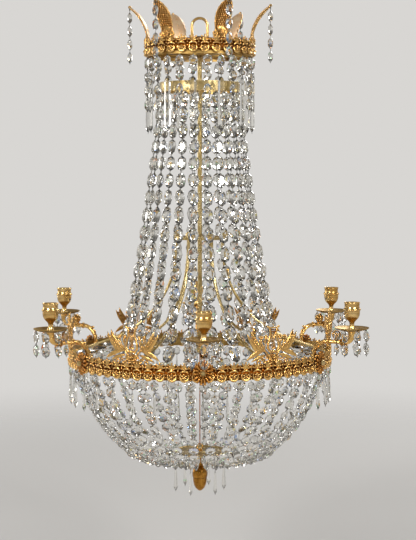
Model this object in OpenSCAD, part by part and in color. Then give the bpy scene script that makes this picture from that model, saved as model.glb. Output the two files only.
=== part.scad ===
// Tent and bag chandelier with six candle arms, gilt brass and cut crystal.
// Millimetres, Z up. The origin is the inside top of the hanging shackle, on the stem's axis,
// and the whole fitting hangs below it. The arms point at -90, -30, 30 degrees and so on.

/* [Lower ring] */
// Outer radius of the lower ring's cast gallery
ring_r = 280; // [260:1:300]
// Depth of the lower ring's lower edge below the origin
ring_drop = 733; // [720:1:760]
// Height of the row of medallions on the lower ring
gallery_h = 22; // [20:0.5:24]
// Height of the leaves above that row
crest_h = 14; // [10:0.5:16]
// Height of the plain hoop behind the gallery
hoop_h = 30; // [27:0.5:34]
// Thickness of the plain hoop
hoop_t = 2.5; // [2:0.1:3.5]
// Medallions round the lower ring, six to a casting
ring_medallions = 72; // [72:12:72]

/* [Corona] */
// Outer radius of the corona's cast gallery
corona_r = 115; // [105:1:125]
// Depth of the corona's lower edge below the origin
corona_drop = 80; // [78:1:90]
// Turn of the corona on the stem against the ring's arms, in degrees
corona_turn = -8; // [-15:1:15]
// Medallions round the corona, five to a casting
corona_medallions = 30; // [30:6:30]
// Radius of the bend of a plume
plume_bend_r = 84; // [76:1:92]
// Widest width of a plume
plume_w = 37; // [30:1:42]
// Thickness of a plume
plume_t = 3; // [2.5:0.1:4]

/* [Hanger and stem] */
// Inner width of the shackle
shackle_w = 27; // [25:0.5:32]
// Diameter of the shackle's bar
shackle_bar_d = 6; // [5:0.5:8]
// Depth of the shackle's pin below the origin
pin_drop = 42; // [38:1:46]
// Diameter of the shackle's pin
pin_d = 5; // [4:0.5:6]
// Diameter of the iron rod in the stem
rod_d = 6; // [5:0.5:7]
// Outer diameter of the brass tubes on the rod
tube_d = 9.5; // [9:0.5:12]

/* [Inner ring and stays] */
// Outer radius of the inner ring
inner_r = 85; // [80:1:90]
// Depth of the inner ring's lower edge below the origin
inner_drop = 153; // [145:1:165]
// Height of the inner ring
inner_h = 20; // [14:1:24]
// Depth of the spreader's underside below the origin
spreader_drop = 467; // [455:1:475]
// Depth of the stem's foot below the origin
stem_drop = 700; // [680:1:715]
// Radius at which the stays pass the spreader
stay_top_r = 49; // [44:1:54]
// Diameter of a stay rod
stay_d = 6; // [5:0.5:7]
// Bend radius of a stay
stay_bend_r = 215; // [210:1:220]

/* [Candle arms] */
// Length of the level run of an arm, from its arch to its horn
arm_run_l = 36.4; // [33:0.1:46]
// Diameter of an arm's bar
arm_d = 9; // [8:0.5:10]
// Depth of the level run of an arm below the origin
arm_drop = 670; // [662:1:678]
// Diameter of a drip pan
pan_d = 70; // [60:1:76]
// Height of the underside of the drip pans above the arm's level run
pan_rise = 24; // [21:0.5:30]
// Diameter of the candle bore
candle_bore_d = 22.5; // [20:0.5:24]
// Depth of the candle bore
candle_bore_h = 28; // [22:1:30]

/* [Crystal] */
// Strands in the tent
tent_strands = 24; // [24:12:24]
// Beads on a tent strand
tent_beads = 17; // [15:1:18]
// Width of the highest bead on a tent strand
tent_bead_w = 18; // [14:0.5:19]
// Width of the lowest bead on a tent strand
tent_foot_w = 26; // [20:0.5:28]
// Strands in the basket
basket_strands = 36; // [36:12:36]
// Beads on a basket strand
basket_beads = 12; // [11:1:13]
// Width of a basket bead
basket_bead_w = 21; // [16:0.5:22]
// Thickness of a basket bead
basket_bead_t = 8.5; // [6:0.5:9]
// Radius at which the basket strands hang lowest
basket_low_r = 99.5; // [95:0.5:103]
// Catenary length of the basket strands, which sets how deep they hang
basket_sag_a = 99; // [95:1:104]
// Length of a ring spear
spear_l = 58; // [45:1:65]
// Length of a corona prism
prism_l = 116; // [90:1:122]

/* [Base] */
// Radius of the bottom plate
plate_r = 60; // [56:1:64]
// Diameter of the acorn
acorn_d = 33; // [28:0.5:36]
// Height of the acorn with its cap
acorn_h = 55.5; // [48:0.5:60]

/* [Hidden] */
$fn = 32;

// Colours
gilt = "goldenrod";
bright_gilt = "gold";
dull_brass = "darkkhaki";
iron = "dimgray";
crystal_white = "lightcyan";

// Clearances: a seat between pieces, a running fit, and the gap from bead to bead
seat = 0.2;
run_fit = 0.06;
bead_gap = 0.5;
sink = 0.3;
joint_w = 0.4;

// Lower ring
plate_t = 2;
relief = 2.2;
ring_z = -ring_drop;
gallery_top_z = ring_z + gallery_h;
crest_top_z = gallery_top_z + crest_h;
hoop_r = ring_r - plate_t - seat;
hoop_z = ring_z + 1;
hoop_top_z = hoop_z + hoop_h;
hoop_in_r = hoop_r - hoop_t;
ring_mid_z = ring_z + hoop_h * 0.6;
ring_castings = 12;
first_arm = -90;

// Corona
corona_plate_t = 2;
corona_relief = 2;
corona_z = -corona_drop;
corona_rim_h = 4;
corona_gallery_h = 20;
corona_crest_h = 13;
corona_gallery_z = corona_z + corona_rim_h;
corona_crest_z = corona_gallery_z + corona_gallery_h;
corona_hoop_h = corona_rim_h + corona_gallery_h + 6;
corona_hoop_r = corona_r - corona_plate_t - seat;
corona_hoop_t = 2;
corona_in_r = corona_hoop_r - corona_hoop_t;
corona_top_z = corona_z + corona_hoop_h;
corona_castings = 6;
bar_h = 4;
bar_w = 10;

// Plumes
plume_seat = 0.6;
plume_r = corona_in_r - plume_seat - plume_t / 2;
plume_vein_t = plume_t + 2;
plume_foot_z = corona_top_z - 4;
plume_straight = 9;
plume_bend_z = plume_foot_z + plume_straight;
plume_turn = 60;
plume_tip_r = plume_r + plume_bend_r * (1 - cos(plume_turn));
plume_tip_z = plume_bend_z + plume_bend_r * sin(plume_turn);
plume_eye_d = 5;
plume_eye_w = 5;
plume_eye_room = 12;
hook_wire_d = 2;
hook_l = 9;
plume_beads = 4;
plume_bead_l = 28;
plume_bead_w = 15;
plume_bead_t = 9;

// Stem
pin_z = -pin_drop;
eye_d = 16;
eye_w = shackle_w - 5;
hub_d = 26;
nut_d = 14;
nut_h = 6;
inner_z = -inner_drop;
inner_t = 2;
spreader_z = -spreader_drop;
spreader_h = 6;
spreader_w = 10;
stem_foot_z = -stem_drop;
foot_nut_h = 12;
foot_floor_h = 3;
link_d = 2.2;
link_head_h = 1.6;
link_eye_r = 2.8;
rod_end_z = stem_foot_z - foot_nut_h + foot_floor_h + link_head_h + 2 * seat;

// Stays: straight down, one bend, and a straight run out to the hoop, filed a little thinner
stay_turn = 72;
stay_low_r = stay_top_r + stay_bend_r * (1 - cos(stay_turn));
stay_foot_r = hoop_in_r - seat;
stay_nut_h = 5;
stay_pad_h = 14;
stay_foot_z = hoop_top_z - stay_pad_h / 2 - 0.7;
stay_low_z = stay_foot_z + (stay_foot_r - stay_low_r) * tan(90 - stay_turn);
stay_bend_z = stay_low_z + stay_bend_r * sin(stay_turn);
stay_pad_w = 14;
stay_pad_t = 4;

// Arms
arm_foot_r = hoop_in_r - seat - arm_d / 2 - 1;
arm_z = -arm_drop;
arm_bend_r = 30;
arm_run_r = arm_foot_r + arm_bend_r;
horn_d = 13;
pan_z = arm_z + pan_rise;
horn_r = 17;
horn_z = arm_z + horn_r;
horn_run_r = arm_run_r + arm_run_l;
candle_r = horn_run_r + horn_r;
stud_d = 6;
stud_h = 15;
basket_knob_r = arm_run_r + arm_run_l * 0.55;
basket_knob_d = 20;
basket_knob_h = 22.5;
screw_d = 5;
plaque_w = 42;
plaque_h = 50;
plaque_t = 3;
plaque_r = ring_r + relief + 0.7;
screw_head_r = plaque_r + 2 * plaque_t;

// Candle cups, from the seat on the pan upward
pan_h = 4;
cup_z = pan_z + pan_h;
cup_neck_h = 12;
cup_bowl_r = 16.8;
cup_h = 55;
cup_rim_r = candle_bore_d / 2 + 4.8;

// Lyres
lyre_h = 57;
lyre_t = 5;
wing_t = 4;
wing_w = 60;
wing_h = 61;
wing_lift = crest_top_z + 2 * seat - hoop_top_z;
wing_r = hoop_r - wing_t / 2 - 0.1;
lyre_r = wing_r + wing_t / 2 + lyre_t / 2 + 0.1;
lyre_foot_z = crest_top_z + 0.6;

// Tent strands: a hanging chain from the inner ring, a bend, and a run out to the hoop
tent_top = [inner_r - inner_t / 2, inner_z - seat];
tent_bend_r = 58;
tent_steep = 11;
tent_rise = 22;
tent_end = [hoop_in_r - 0.4, hoop_top_z - 6];
tent_low_z = ring_z + 12;
tent_bend_c = [tent_end[0] - 56, tent_low_z + tent_bend_r];
tent_foot = tent_bend_c + tent_bend_r * [-cos(tent_steep), -sin(tent_steep)];
tent_flare = 599;
tent_k = (tent_foot[0] - tent_top[0]) / ln(1 + (tent_top[1] - tent_foot[1]) / tent_flare);
tent_steps = 24;
tent_fall = [for (i = [0:tent_steps]) tent_fall_point(i / tent_steps)];
tent_arc = [for (a = [180 + tent_steep + 8:8:270 + tent_rise])
    tent_bend_c + tent_bend_r * [cos(a), sin(a)]];
tent_path = concat(tent_fall, tent_arc, [tent_end]);
tent_len = lengths(tent_path);
tent_share = [for (j = [0:tent_beads - 1]) 1 + 0.4 * j / (tent_beads - 1)];
tent_t_ratio = 0.55;

// Basket strands: a catenary from the hoop to the bottom plate
basket_top = [hoop_r - hoop_t / 2, hoop_z - seat];
basket_low_z = basket_top[1] - catenary(basket_top[0]);
basket_end = [plate_r + 0.1, basket_low_z + catenary(plate_r + 0.1)];
basket_steps = 40;
basket_path = [for (i = [0:basket_steps]) basket_point(i / basket_steps)];
basket_len = lengths(basket_path);
edge_on_pitch = basket_bead_w + 4;

// Spears
spear_bead_l = 24;
spear_bead_w = 16;
spear_bead_t = 8;
spear_d = 9;
spear_r = ring_r - plate_t / 2;
ring_spear_count = 36;
bottom_spear_count = 12;
bottom_spear_l = 54;
bottom_spear_bead_l = 29;

// Corona strings and prisms
corona_hang_r = corona_hoop_r - corona_hoop_t / 2;
corona_hang_z = corona_z - seat;
corona_count = 12;
corona_string_beads = 4;
corona_bead_l = 29;
corona_bead_w = 20;
corona_bead_t = 12;
small_bead_l = 16;
small_bead_w = 12;
prism_w = 11;
prism_t = 8;

// Pan drops, spaced so that none hangs over the arm
pan_drop_count = 7;
pan_drop_step = 47;
pan_bead_l = 27;
pan_bead_w = 17;
pan_bead_t = 9;

// Base
plate_h = 5;
plate_z = basket_end[1] - plate_h / 2;
base_neck_h = 28;
acorn_z = plate_z - base_neck_h;
acorn_cap_h = acorn_h * 0.48;
bolt_end_z = acorn_z - acorn_cap_h - 12;
bolt_collar_h = 2;
bolt_ring_r = 6;
bolt_ring_d = 2.6;
bolt_ring_z = plate_z + plate_h + seat + bolt_collar_h + bolt_ring_r + bolt_ring_d / 2 - 0.6;

// Depth of the basket catenary above its lowest point
function catenary(r) = basket_sag_a * (hyperbolic((r - basket_low_r) / basket_sag_a) - 1);
function hyperbolic(x) = (exp(x) + exp(-x)) / 2;
function basket_point(t) = let (r = basket_top[0] + (basket_end[0] - basket_top[0]) * t)
    [r, basket_low_z + catenary(r)];
function tent_fall_point(t) = let (z = tent_top[1] + (tent_foot[1] - tent_top[1]) * t)
    [tent_foot[0] - tent_k * ln(1 + (z - tent_foot[1]) / tent_flare), z];

// Running length at each point of a path, and the point at a given length
function lengths(p) = [for (i = 0, d = 0; i < len(p);
    d = d + (i + 1 < len(p) ? norm(p[i + 1] - p[i]) : 0), i = i + 1) d];
function at_length(p, c, d) = let (i = max([for (k = [0:len(p) - 2]) if (c[k] <= d) k]))
    p[i] + (p[i + 1] - p[i]) * (d - c[i]) / (c[i + 1] - c[i]);
function total(v, n) = n <= 0 ? 0 : v[n - 1] + total(v, n - 1);
function last(v) = v[len(v) - 1];

// Points at which the beads of a strand meet
tent_joints = [for (j = [0:tent_beads])
    at_length(tent_path, tent_len, last(tent_len) * total(tent_share, j) / total(tent_share, tent_beads))];
basket_joints = [for (j = [0:basket_beads])
    at_length(basket_path, basket_len, last(basket_len) * j / basket_beads)];

// Copies spaced round the axis
module around(count, first = 0) {
    for (i = [0:count - 1]) rotate([0, 0, first + i * 360 / count]) children();
}

// One cut bead, long axis Z, wide along Y and thick along X, with a short chisel edge at each end;
// belt is the share of the length over which its narrow sides run straight
module crystal(l, w, t, belt = 0) {
    end_z = l / 2 + 1;
    belt_z = l * belt / 2;
    side = belt > 0 ? [[w / 2, belt_z], [w / 2, -belt_z]] : [[w / 2, 0]];
    far_side = belt > 0 ? [[-w / 2, -belt_z], [-w / 2, belt_z]] : [[-w / 2, 0]];
    intersection() {
        rotate([90, 0, 90]) linear_extrude(t, center = true)
            polygon(concat([[1, end_z]], side, [[1, -end_z], [-1, -end_z]], far_side, [[-1, end_z]]));
        rotate([90, 0, 0]) linear_extrude(w, center = true)
            polygon([[0, l / 2], [t / 2, 0], [0, -l / 2], [-t / 2, 0]]);
    }
}

// One bead on the chord between two points of a strand
module bead_between(a, b, w, t, belt, twist = 0) {
    mid = (a + b) / 2;
    translate([mid[0], 0, mid[1]])
        rotate([0, atan2(b[0] - a[0], b[1] - a[1]), 0])
            rotate([0, 0, twist]) crystal(norm(b - a) - bead_gap, w, t, belt);
}

// One bead that hangs straight down from a height
module hanging_bead(r, top, l, w, t, belt = 0) {
    translate([r, 0, top - l / 2]) crystal(l - bead_gap, w, t, belt);
}

// A spear: six flat sides, drawn to a point
module spear(r, top, l, d) {
    translate([r, 0, top - l]) intersection() {
        cylinder(d = d, h = l, $fn = 6);
        rotate([90, 0, 0]) linear_extrude(d, center = true)
            polygon([[0.4, 0], [d / 2, l * 0.2], [d * 0.28, l * 0.9], [1, l - bead_gap],
                [-1, l - bead_gap], [-d * 0.28, l * 0.9], [-d / 2, l * 0.2], [-0.4, 0]]);
    }
}

// A flat-sided arc of plate: inner face at r, count of sides from a first side
module facet_arc(r, t, h, sides, first, count) {
    step = 360 / sides;
    grow = 1 / cos(step / 2);
    inner = [for (i = [0:count]) r * grow * [cos((first + i) * step), sin((first + i) * step)]];
    outer = [for (i = [count:-1:0]) (r + t) * grow * [cos((first + i) * step), sin((first + i) * step)]];
    linear_extrude(h) polygon(concat(inner, outer));
}

// Fine saw cut between two castings of a gallery
module joint_cut(r, z, h) {
    translate([r - 6, -joint_w / 2, z - 1]) cube([12, joint_w, h + 2]);
}

// Flower in a ring, lying on a flat side at x = 0 and facing +X
module medallion(d, depth) {
    rotate([0, 90, 0]) {
        difference() {
            translate([0, 0, -sink]) cylinder(d = d, h = depth + sink);
            translate([0, 0, -2 * sink]) cylinder(d = d * 0.72, h = depth + 3 * sink);
        }
        translate([0, 0, -sink]) linear_extrude(depth * 0.7 + sink)
            polygon([for (i = [0:11]) d * (i % 2 == 0 ? 0.31 : 0.15) * [cos(i * 30), sin(i * 30)]]);
        translate([0, 0, -sink]) cylinder(d = d * 0.16, h = depth * 1.1 + sink, $fn = 16);
    }
}

// One upright leaf of a crest, in the YZ plane, facing +X, standing at z = 0
module crest_leaf(w, h, t) {
    rotate([90, 0, 90]) linear_extrude(t)
        polygon([[-w * 0.5, -1], [w * 0.5, -1], [w * 0.44, h * 0.5], [w * 0.2, h * 0.44],
            [w * 0.18, h * 0.78], [0, h], [-w * 0.18, h * 0.78], [-w * 0.2, h * 0.44],
            [-w * 0.44, h * 0.5]]);
}

// Hanger
module hanger_shackle() {
    color(gilt) {
        bow_r = (shackle_w + shackle_bar_d) / 2;
        bow_z = -shackle_w / 2;
        leg = pin_drop - shackle_w / 2;
        difference() {
            union() {
                translate([0, 0, bow_z]) rotate([90, 0, 0])
                    rotate_extrude(angle = 180) translate([bow_r, 0]) circle(d = shackle_bar_d);
                for (s = [-1, 1]) translate([s * bow_r, 0, bow_z - leg]) {
                    cylinder(d = shackle_bar_d, h = leg);
                    rotate([0, 90, 0]) cylinder(d = 2 * pin_d + 4, h = shackle_bar_d, center = true);
                }
            }
            translate([0, 0, pin_z]) rotate([0, 90, 0])
                cylinder(d = pin_d + 0.1, h = 2 * shackle_w + 20, center = true);
        }
    }
}

module hanger_pin() {
    reach = shackle_w / 2 + shackle_bar_d + 0.1;
    color(iron) translate([0, 0, pin_z]) rotate([0, 90, 0]) {
        cylinder(d = pin_d, h = 2 * reach, center = true);
        for (s = [-1, 1]) translate([0, 0, s * (reach + 1)])
            cylinder(d = pin_d + 4, h = 2, center = true);
    }
}

// Stem
module stem_rod() {
    color(iron) difference() {
        union() {
            translate([0, 0, rod_end_z]) cylinder(d = rod_d, h = pin_z - rod_end_z);
            translate([0, 0, pin_z]) rotate([0, 90, 0]) cylinder(d = eye_d, h = eye_w, center = true);
        }
        translate([0, 0, pin_z]) rotate([0, 90, 0])
            cylinder(d = pin_d + 2 * run_fit, h = eye_w + 2, center = true);
    }
}

module tube_between(top, bottom) {
    translate([0, 0, bottom + seat]) difference() {
        cylinder(d = tube_d, h = top - bottom - 2 * seat);
        translate([0, 0, -1]) cylinder(d = rod_d + 0.6, h = top - bottom + 2);
    }
}

module stem_tubes() {
    color(dull_brass) {
        tube_between(corona_z, inner_z + inner_h / 2 + bar_h / 2);
        tube_between(inner_z + inner_h / 2 - bar_h / 2, spreader_z + spreader_h);
        tube_between(spreader_z, stem_foot_z);
    }
}

module stem_nut(z) {
    translate([0, 0, z]) difference() {
        cylinder(d = nut_d, h = nut_h, $fn = 6);
        translate([0, 0, -1]) cylinder(d = rod_d + 0.2, h = nut_h + 2);
    }
}

module stem_nuts() {
    color(dull_brass) {
        stem_nut(corona_z + bar_h + seat);
        stem_nut(plate_z - nut_h - seat);
        foot_nut();
    }
}

// Nut at the stem's foot: the link's head rests inside it, below the end of the rod
module foot_nut() {
    translate([0, 0, stem_foot_z - foot_nut_h]) difference() {
        cylinder(d = nut_d, h = foot_nut_h, $fn = 6);
        translate([0, 0, foot_floor_h]) cylinder(d = rod_d + 0.2, h = foot_nut_h);
        translate([0, 0, -1]) cylinder(d = link_d + 0.4, h = foot_floor_h + 2);
    }
}

// Plain hoop with its lower edge at z
module hoop(r, t, z, h) {
    rotate_extrude($fn = 96) translate([r - t, z]) square([t, h]);
}

// Flat cross bars from a hub to a hoop
module spider(r, z, bars) {
    difference() {
        union() {
            translate([0, 0, z]) cylinder(d = hub_d, h = bar_h);
            intersection() {
                translate([0, 0, z]) for (i = [0:bars - 1]) rotate([0, 0, i * 180 / bars])
                    translate([-r, -bar_w / 2, 0]) cube([2 * r, bar_w, bar_h]);
                translate([0, 0, z - 1]) cylinder(r = r, h = bar_h + 2);
            }
        }
        translate([0, 0, z - 1]) cylinder(d = rod_d + 0.2, h = bar_h + 2);
    }
}

// Corona
module corona_hoop() {
    color(gilt) hoop(corona_hoop_r, corona_hoop_t, corona_z, corona_hoop_h);
}

module corona_gallery() {
    per = corona_medallions / corona_castings;
    step = 360 / corona_medallions;
    pitch = 2 * corona_r * tan(step / 2);
    color(bright_gilt) rotate([0, 0, corona_turn]) difference() {
        union() {
            for (k = [0:corona_castings - 1]) translate([0, 0, corona_gallery_z])
                facet_arc(corona_r - corona_plate_t, corona_plate_t, corona_gallery_h,
                    corona_medallions, k * per, per);
            around(corona_medallions, step / 2)
                translate([corona_r, 0, corona_gallery_z + corona_gallery_h / 2])
                    medallion(min(pitch * 0.84, corona_gallery_h * 0.98), corona_relief);
        }
        around(corona_castings) joint_cut(corona_r, corona_gallery_z, corona_gallery_h);
    }
}

module corona_crest() {
    step = 360 / corona_medallions;
    pitch = 2 * corona_r * tan(step / 2);
    color(bright_gilt) for (i = [0:corona_medallions - 1]) rotate([0, 0, corona_turn + (i + 0.5) * step])
        translate([corona_r - corona_plate_t, 0, corona_crest_z + 1])
            crest_leaf(pitch * 0.98, corona_crest_h - 1, corona_plate_t);
}

module corona_spider() {
    color(gilt) rotate([0, 0, corona_turn]) spider(corona_in_r - seat, corona_z, 3);
}

// Plumes: a palmette leaf bent outward on an arc, with an eye rolled at its tip
function plume_half(t) = (3.5 + (plume_w / 2 - 3.5) * pow(sin(180 * pow(t, 0.85)), 0.65))
    * (1 + 0.07 * cos(360 * 7 * t));

module plume_arc(r_in, r_out, w) {
    rotate([90, 0, 0]) linear_extrude(w, center = true) intersection() {
        difference() {
            circle(r = r_out, $fn = 96);
            circle(r = r_in, $fn = 96);
        }
        polygon([[0, 0], [-2 * r_out, 0], [-2 * r_out, 2 * r_out * tan(plume_turn)]]);
    }
}

module plume() {
    steps = 28;
    rise = plume_tip_z - plume_foot_z;
    centre = [plume_r + plume_bend_r, 0, plume_bend_z];
    difference() {
        union() {
            intersection() {
                union() {
                    translate(centre)
                        plume_arc(plume_bend_r - plume_t / 2, plume_bend_r + plume_t / 2, plume_w + 10);
                    translate([plume_r - plume_t / 2, -plume_w, plume_foot_z])
                        cube([plume_t, 2 * plume_w, plume_straight]);
                }
                translate([plume_r - plume_t, 0, plume_foot_z]) rotate([90, 0, 90])
                    linear_extrude(plume_bend_r)
                    polygon(concat(
                        [for (i = [0:steps]) [plume_half(i / steps), rise * i / steps]],
                        [for (i = [steps:-1:0]) [-plume_half(i / steps), rise * i / steps]]));
            }
            translate(centre) plume_arc(plume_bend_r - plume_vein_t / 2, plume_bend_r + plume_vein_t / 2, 3);
            translate([plume_tip_r, 0, plume_tip_z]) rotate([90, 0, 0])
                cylinder(d = plume_eye_d, h = plume_eye_w, center = true);
        }
        translate([plume_tip_r, 0, plume_tip_z]) rotate([90, 0, 0]) {
            cylinder(d = hook_wire_d + 0.2, h = plume_w, center = true);
            for (s = [-1, 1]) translate([0, 0, s * (plume_eye_w + plume_w) / 2])
                cylinder(d = plume_eye_room, h = plume_w, center = true);
        }
    }
}

module plumes() {
    color(bright_gilt) around(6, corona_turn) plume();
}

// Scrolled leaf that holds a plume on the corona's hoop
module plume_sockets() {
    head_r = corona_r + 2;
    leaf_z = corona_crest_z + corona_crest_h + seat;
    color(bright_gilt) around(6, corona_turn) intersection() {
        union() {
            translate([plume_r, -9, corona_top_z])
                cube([corona_hoop_r - plume_r, 18, leaf_z - corona_top_z + 2]);
            translate([plume_r, 0, leaf_z]) rotate([90, 0, 90]) linear_extrude(head_r - plume_r) {
                translate([-14, 0]) square([28, 8]);
                for (s = [-1, 1]) translate([s * 15, 6.5]) circle(d = 13);
                translate([0, 7]) circle(d = 16);
            }
        }
        translate([plume_r + plume_bend_r, 0, plume_bend_z]) rotate([90, 0, 0])
            cylinder(r = plume_bend_r - plume_vein_t / 2 - seat, h = plume_w + 10, center = true,
                $fn = 160);
    }
}

// Wire hook and drops of one plume
module plume_hook(k) {
    arm_l = hook_l - hook_wire_d / 2;
    gap_w = plume_eye_w + 0.6;
    color(iron) rotate([0, 0, corona_turn + 60 * (k - 1)]) translate([plume_tip_r, 0, plume_tip_z]) {
        rotate([90, 0, 0]) cylinder(d = hook_wire_d, h = gap_w + 2, center = true);
        for (s = [-1, 1]) translate([0, s * (gap_w + 1.2) / 2, -arm_l / 2])
            cube([1.6, 1.2, arm_l], center = true);
        translate([0, 0, -arm_l]) cube([1.6, gap_w + 2.4, 1.4], center = true);
    }
}

module plume_drop(k) {
    top = plume_tip_z - hook_l;
    color(crystal_white) rotate([0, 0, corona_turn + 60 * (k - 1)]) for (i = [0:plume_beads - 1])
        hanging_bead(plume_tip_r, top - i * plume_bead_l, plume_bead_l, plume_bead_w, plume_bead_t);
}

// Inner ring
module inner_ring() {
    color(dull_brass) {
        hoop(inner_r, inner_t, inner_z, inner_h);
        for (a = [-90, 90]) rotate([0, 0, a])
            translate([inner_r - sink, -12, inner_z + 2]) cube([2, 24, inner_h - 4]);
    }
}

module inner_spider() {
    color(dull_brass) spider(inner_r - inner_t - seat, inner_z + inner_h / 2 - bar_h / 2, 2);
}

// Spreader: the small ring on the stem that the stays pass through
module spreader() {
    r = stay_top_r + spreader_w / 2;
    color(dull_brass) difference() {
        union() {
            hoop(r, spreader_w, spreader_z, spreader_h);
            translate([0, 0, spreader_z]) cylinder(d = hub_d, h = spreader_h);
            translate([0, 0, spreader_z]) around(3, 30)
                translate([-r + spreader_w / 2, -bar_w / 2, 1])
                    cube([2 * r - spreader_w, bar_w, spreader_h - 2]);
        }
        translate([0, 0, spreader_z - 1]) cylinder(d = rod_d + 0.2, h = spreader_h + 2);
        around(6) translate([stay_top_r, 0, spreader_z - 1])
            cylinder(d = stay_d + 0.2, h = spreader_h + 2);
    }
}

module stay_rods() {
    run = norm([stay_foot_r - stay_low_r, stay_foot_z - stay_low_z]);
    color(dull_brass) around(6) difference() {
        union() {
            translate([stay_top_r, 0, stay_bend_z])
                cylinder(d = stay_d, h = spreader_z + spreader_h + stay_nut_h + 3 - stay_bend_z);
            translate([stay_top_r + stay_bend_r, 0, stay_bend_z]) rotate([90, 0, 0])
                rotate([0, 0, 180]) rotate_extrude(angle = stay_turn, $fn = 96)
                    translate([stay_bend_r, 0]) circle(d = stay_d);
            translate([stay_low_r, 0, stay_low_z]) rotate([0, 180 - stay_turn, 0]) translate([0, 0, -2])
                cylinder(d = stay_d - 0.2, h = run + 2 - stay_pad_t / 2);
            translate([stay_foot_r - stay_pad_t, -stay_pad_w / 2, stay_foot_z - stay_pad_h / 2])
                cube([stay_pad_t, stay_pad_w, stay_pad_h]);
        }
        translate([stay_foot_r, -stay_pad_w, stay_foot_z - stay_pad_h])
            cube([20, 2 * stay_pad_w, 2 * stay_pad_h]);
    }
}

module stay_nuts() {
    color(dull_brass) around(6) translate([stay_top_r, 0, spreader_z + spreader_h + seat])
        difference() {
            cylinder(d = stay_d + 5, h = stay_nut_h, $fn = 6);
            translate([0, 0, -1]) cylinder(d = stay_d + 0.2, h = stay_nut_h + 2);
        }
}

// Lower ring
module ring_hoop() {
    color(gilt) difference() {
        hoop(hoop_r, hoop_t, hoop_z, hoop_h);
        around(6, first_arm) screw_hole();
    }
}

module screw_hole() {
    translate([arm_foot_r - 2, 0, ring_mid_z]) rotate([0, 90, 0])
        cylinder(d = screw_d + 0.2, h = 30);
}

module ring_gallery() {
    per = ring_medallions / ring_castings;
    step = 360 / ring_medallions;
    pitch = 2 * ring_r * tan(step / 2);
    color(bright_gilt) difference() {
        union() {
            for (k = [0:ring_castings - 1]) translate([0, 0, ring_z])
                facet_arc(ring_r - plate_t, plate_t, gallery_h, ring_medallions, (k + 0.5) * per, per);
            around(ring_medallions, step / 2) translate([ring_r, 0, ring_z + gallery_h / 2])
                medallion(min(pitch * 0.9, gallery_h * 0.96), relief);
        }
        around(6, first_arm) screw_hole();
        around(ring_castings, 180 / ring_castings) joint_cut(ring_r, ring_z, gallery_h);
    }
}

module ring_crest() {
    step = 360 / ring_medallions;
    pitch = 2 * ring_r * tan(step / 2);
    color(bright_gilt) for (i = [0:ring_medallions - 1]) rotate([0, 0, (i + 0.5) * step])
        translate([ring_r - plate_t, 0, gallery_top_z + 1])
            crest_leaf(pitch * 0.98, crest_h - 1, plate_t);
}

// Shell-edged plaque over the foot of each arm
module arm_plaques() {
    lobes = 16;
    color(gilt) around(6, first_arm) difference() {
        union() {
            translate([plaque_r, 0, ring_mid_z]) rotate([90, 0, 90]) linear_extrude(plaque_t)
                polygon([for (i = [0:2 * lobes - 1]) (i % 2 == 0 ? 1 : 0.9)
                    * [plaque_w / 2 * cos(i * 180 / lobes), plaque_h / 2 * sin(i * 180 / lobes)]]);
            translate([plaque_r + plaque_t - sink, 0, ring_mid_z]) rotate([0, 90, 0])
                cylinder(d1 = plaque_w * 0.62, d2 = plaque_w * 0.43, h = plaque_t);
        }
        screw_hole();
    }
}

module ring_screws() {
    color(gilt) {
        around(6, first_arm) translate([0, 0, ring_mid_z]) rotate([0, 90, 0]) {
            translate([0, 0, arm_foot_r - 1]) cylinder(d = screw_d, h = screw_head_r + 1 - arm_foot_r);
            translate([0, 0, screw_head_r]) cylinder(d1 = 12, d2 = 7, h = 4);
        }
    }
}

// Lyres stand on the ring between the arms
function lyre_x(t) = 8.5 + 3.5 * cos(400 * (t - 0.22));

module lyre_side() {
    steps = 12;
    translate([0, 4]) polygon(concat(
        [for (i = [0:steps]) [lyre_x(i / steps) + 1.8, (lyre_h - 8) * i / steps]],
        [for (i = [steps:-1:0]) [lyre_x(i / steps) - 1.8, (lyre_h - 8) * i / steps]]));
}

module lyres() {
    color(bright_gilt) around(6) translate([lyre_r - lyre_t / 2, 0, lyre_foot_z])
        rotate([90, 0, 90]) linear_extrude(lyre_t) {
            for (s = [0, 1]) mirror([s, 0]) {
                lyre_side();
                translate([11.5, lyre_h - 3]) circle(d = 6);
                translate([1.6, 6]) square([1, lyre_h - 16]);
            }
            translate([-10.5, 0]) square([21, 7]);
            translate([-10, lyre_h - 12]) square([20, 3]);
            translate([0, 5]) circle(d = 13);
        }
}

// One leaf of a wing, with its points as shares of the wing's width and height
module wing_shape(points) {
    polygon([for (q = points) [q[0] * wing_w, q[1] * wing_h]]);
}

module lyre_wings() {
    color(bright_gilt) around(6) {
        translate([wing_r - wing_t / 2, 0, hoop_top_z]) rotate([90, 0, 90]) linear_extrude(wing_t) {
            translate([-wing_w * 0.18, 0]) square([wing_w * 0.36, wing_lift + wing_h * 0.2]);
            translate([0, wing_lift]) for (s = [0, 1]) mirror([s, 0]) {
                wing_shape([[0.1, 0.06], [0.27, 0.18], [0.5, 0.36], [0.67, 0.61], [0.78, 0.88],
                    [0.87, 1], [0.87, 0.82], [0.98, 0.91], [0.95, 0.7], [0.83, 0.48], [0.67, 0.27],
                    [0.47, 0.12], [0.23, 0.03]]);
                wing_shape([[0.13, 0.08], [0.37, 0.18], [0.6, 0.2], [0.83, 0.11], [1, 0.09],
                    [0.83, 0.01], [0.57, 0.06], [0.33, 0.02]]);
                wing_shape([[0.2, 0.15], [0.37, 0.42], [0.45, 0.41], [0.33, 0.15]]);
                translate([wing_w * 0.4, wing_h * 0.45]) circle(d = wing_h * 0.14);
            }
        }
    }
}

// Arms
module arc_bar(r, d, from, turn) {
    rotate([90, 0, 0]) rotate([0, 0, from]) rotate_extrude(angle = turn, $fn = 64)
        translate([r, 0]) circle(d = d);
}

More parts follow.
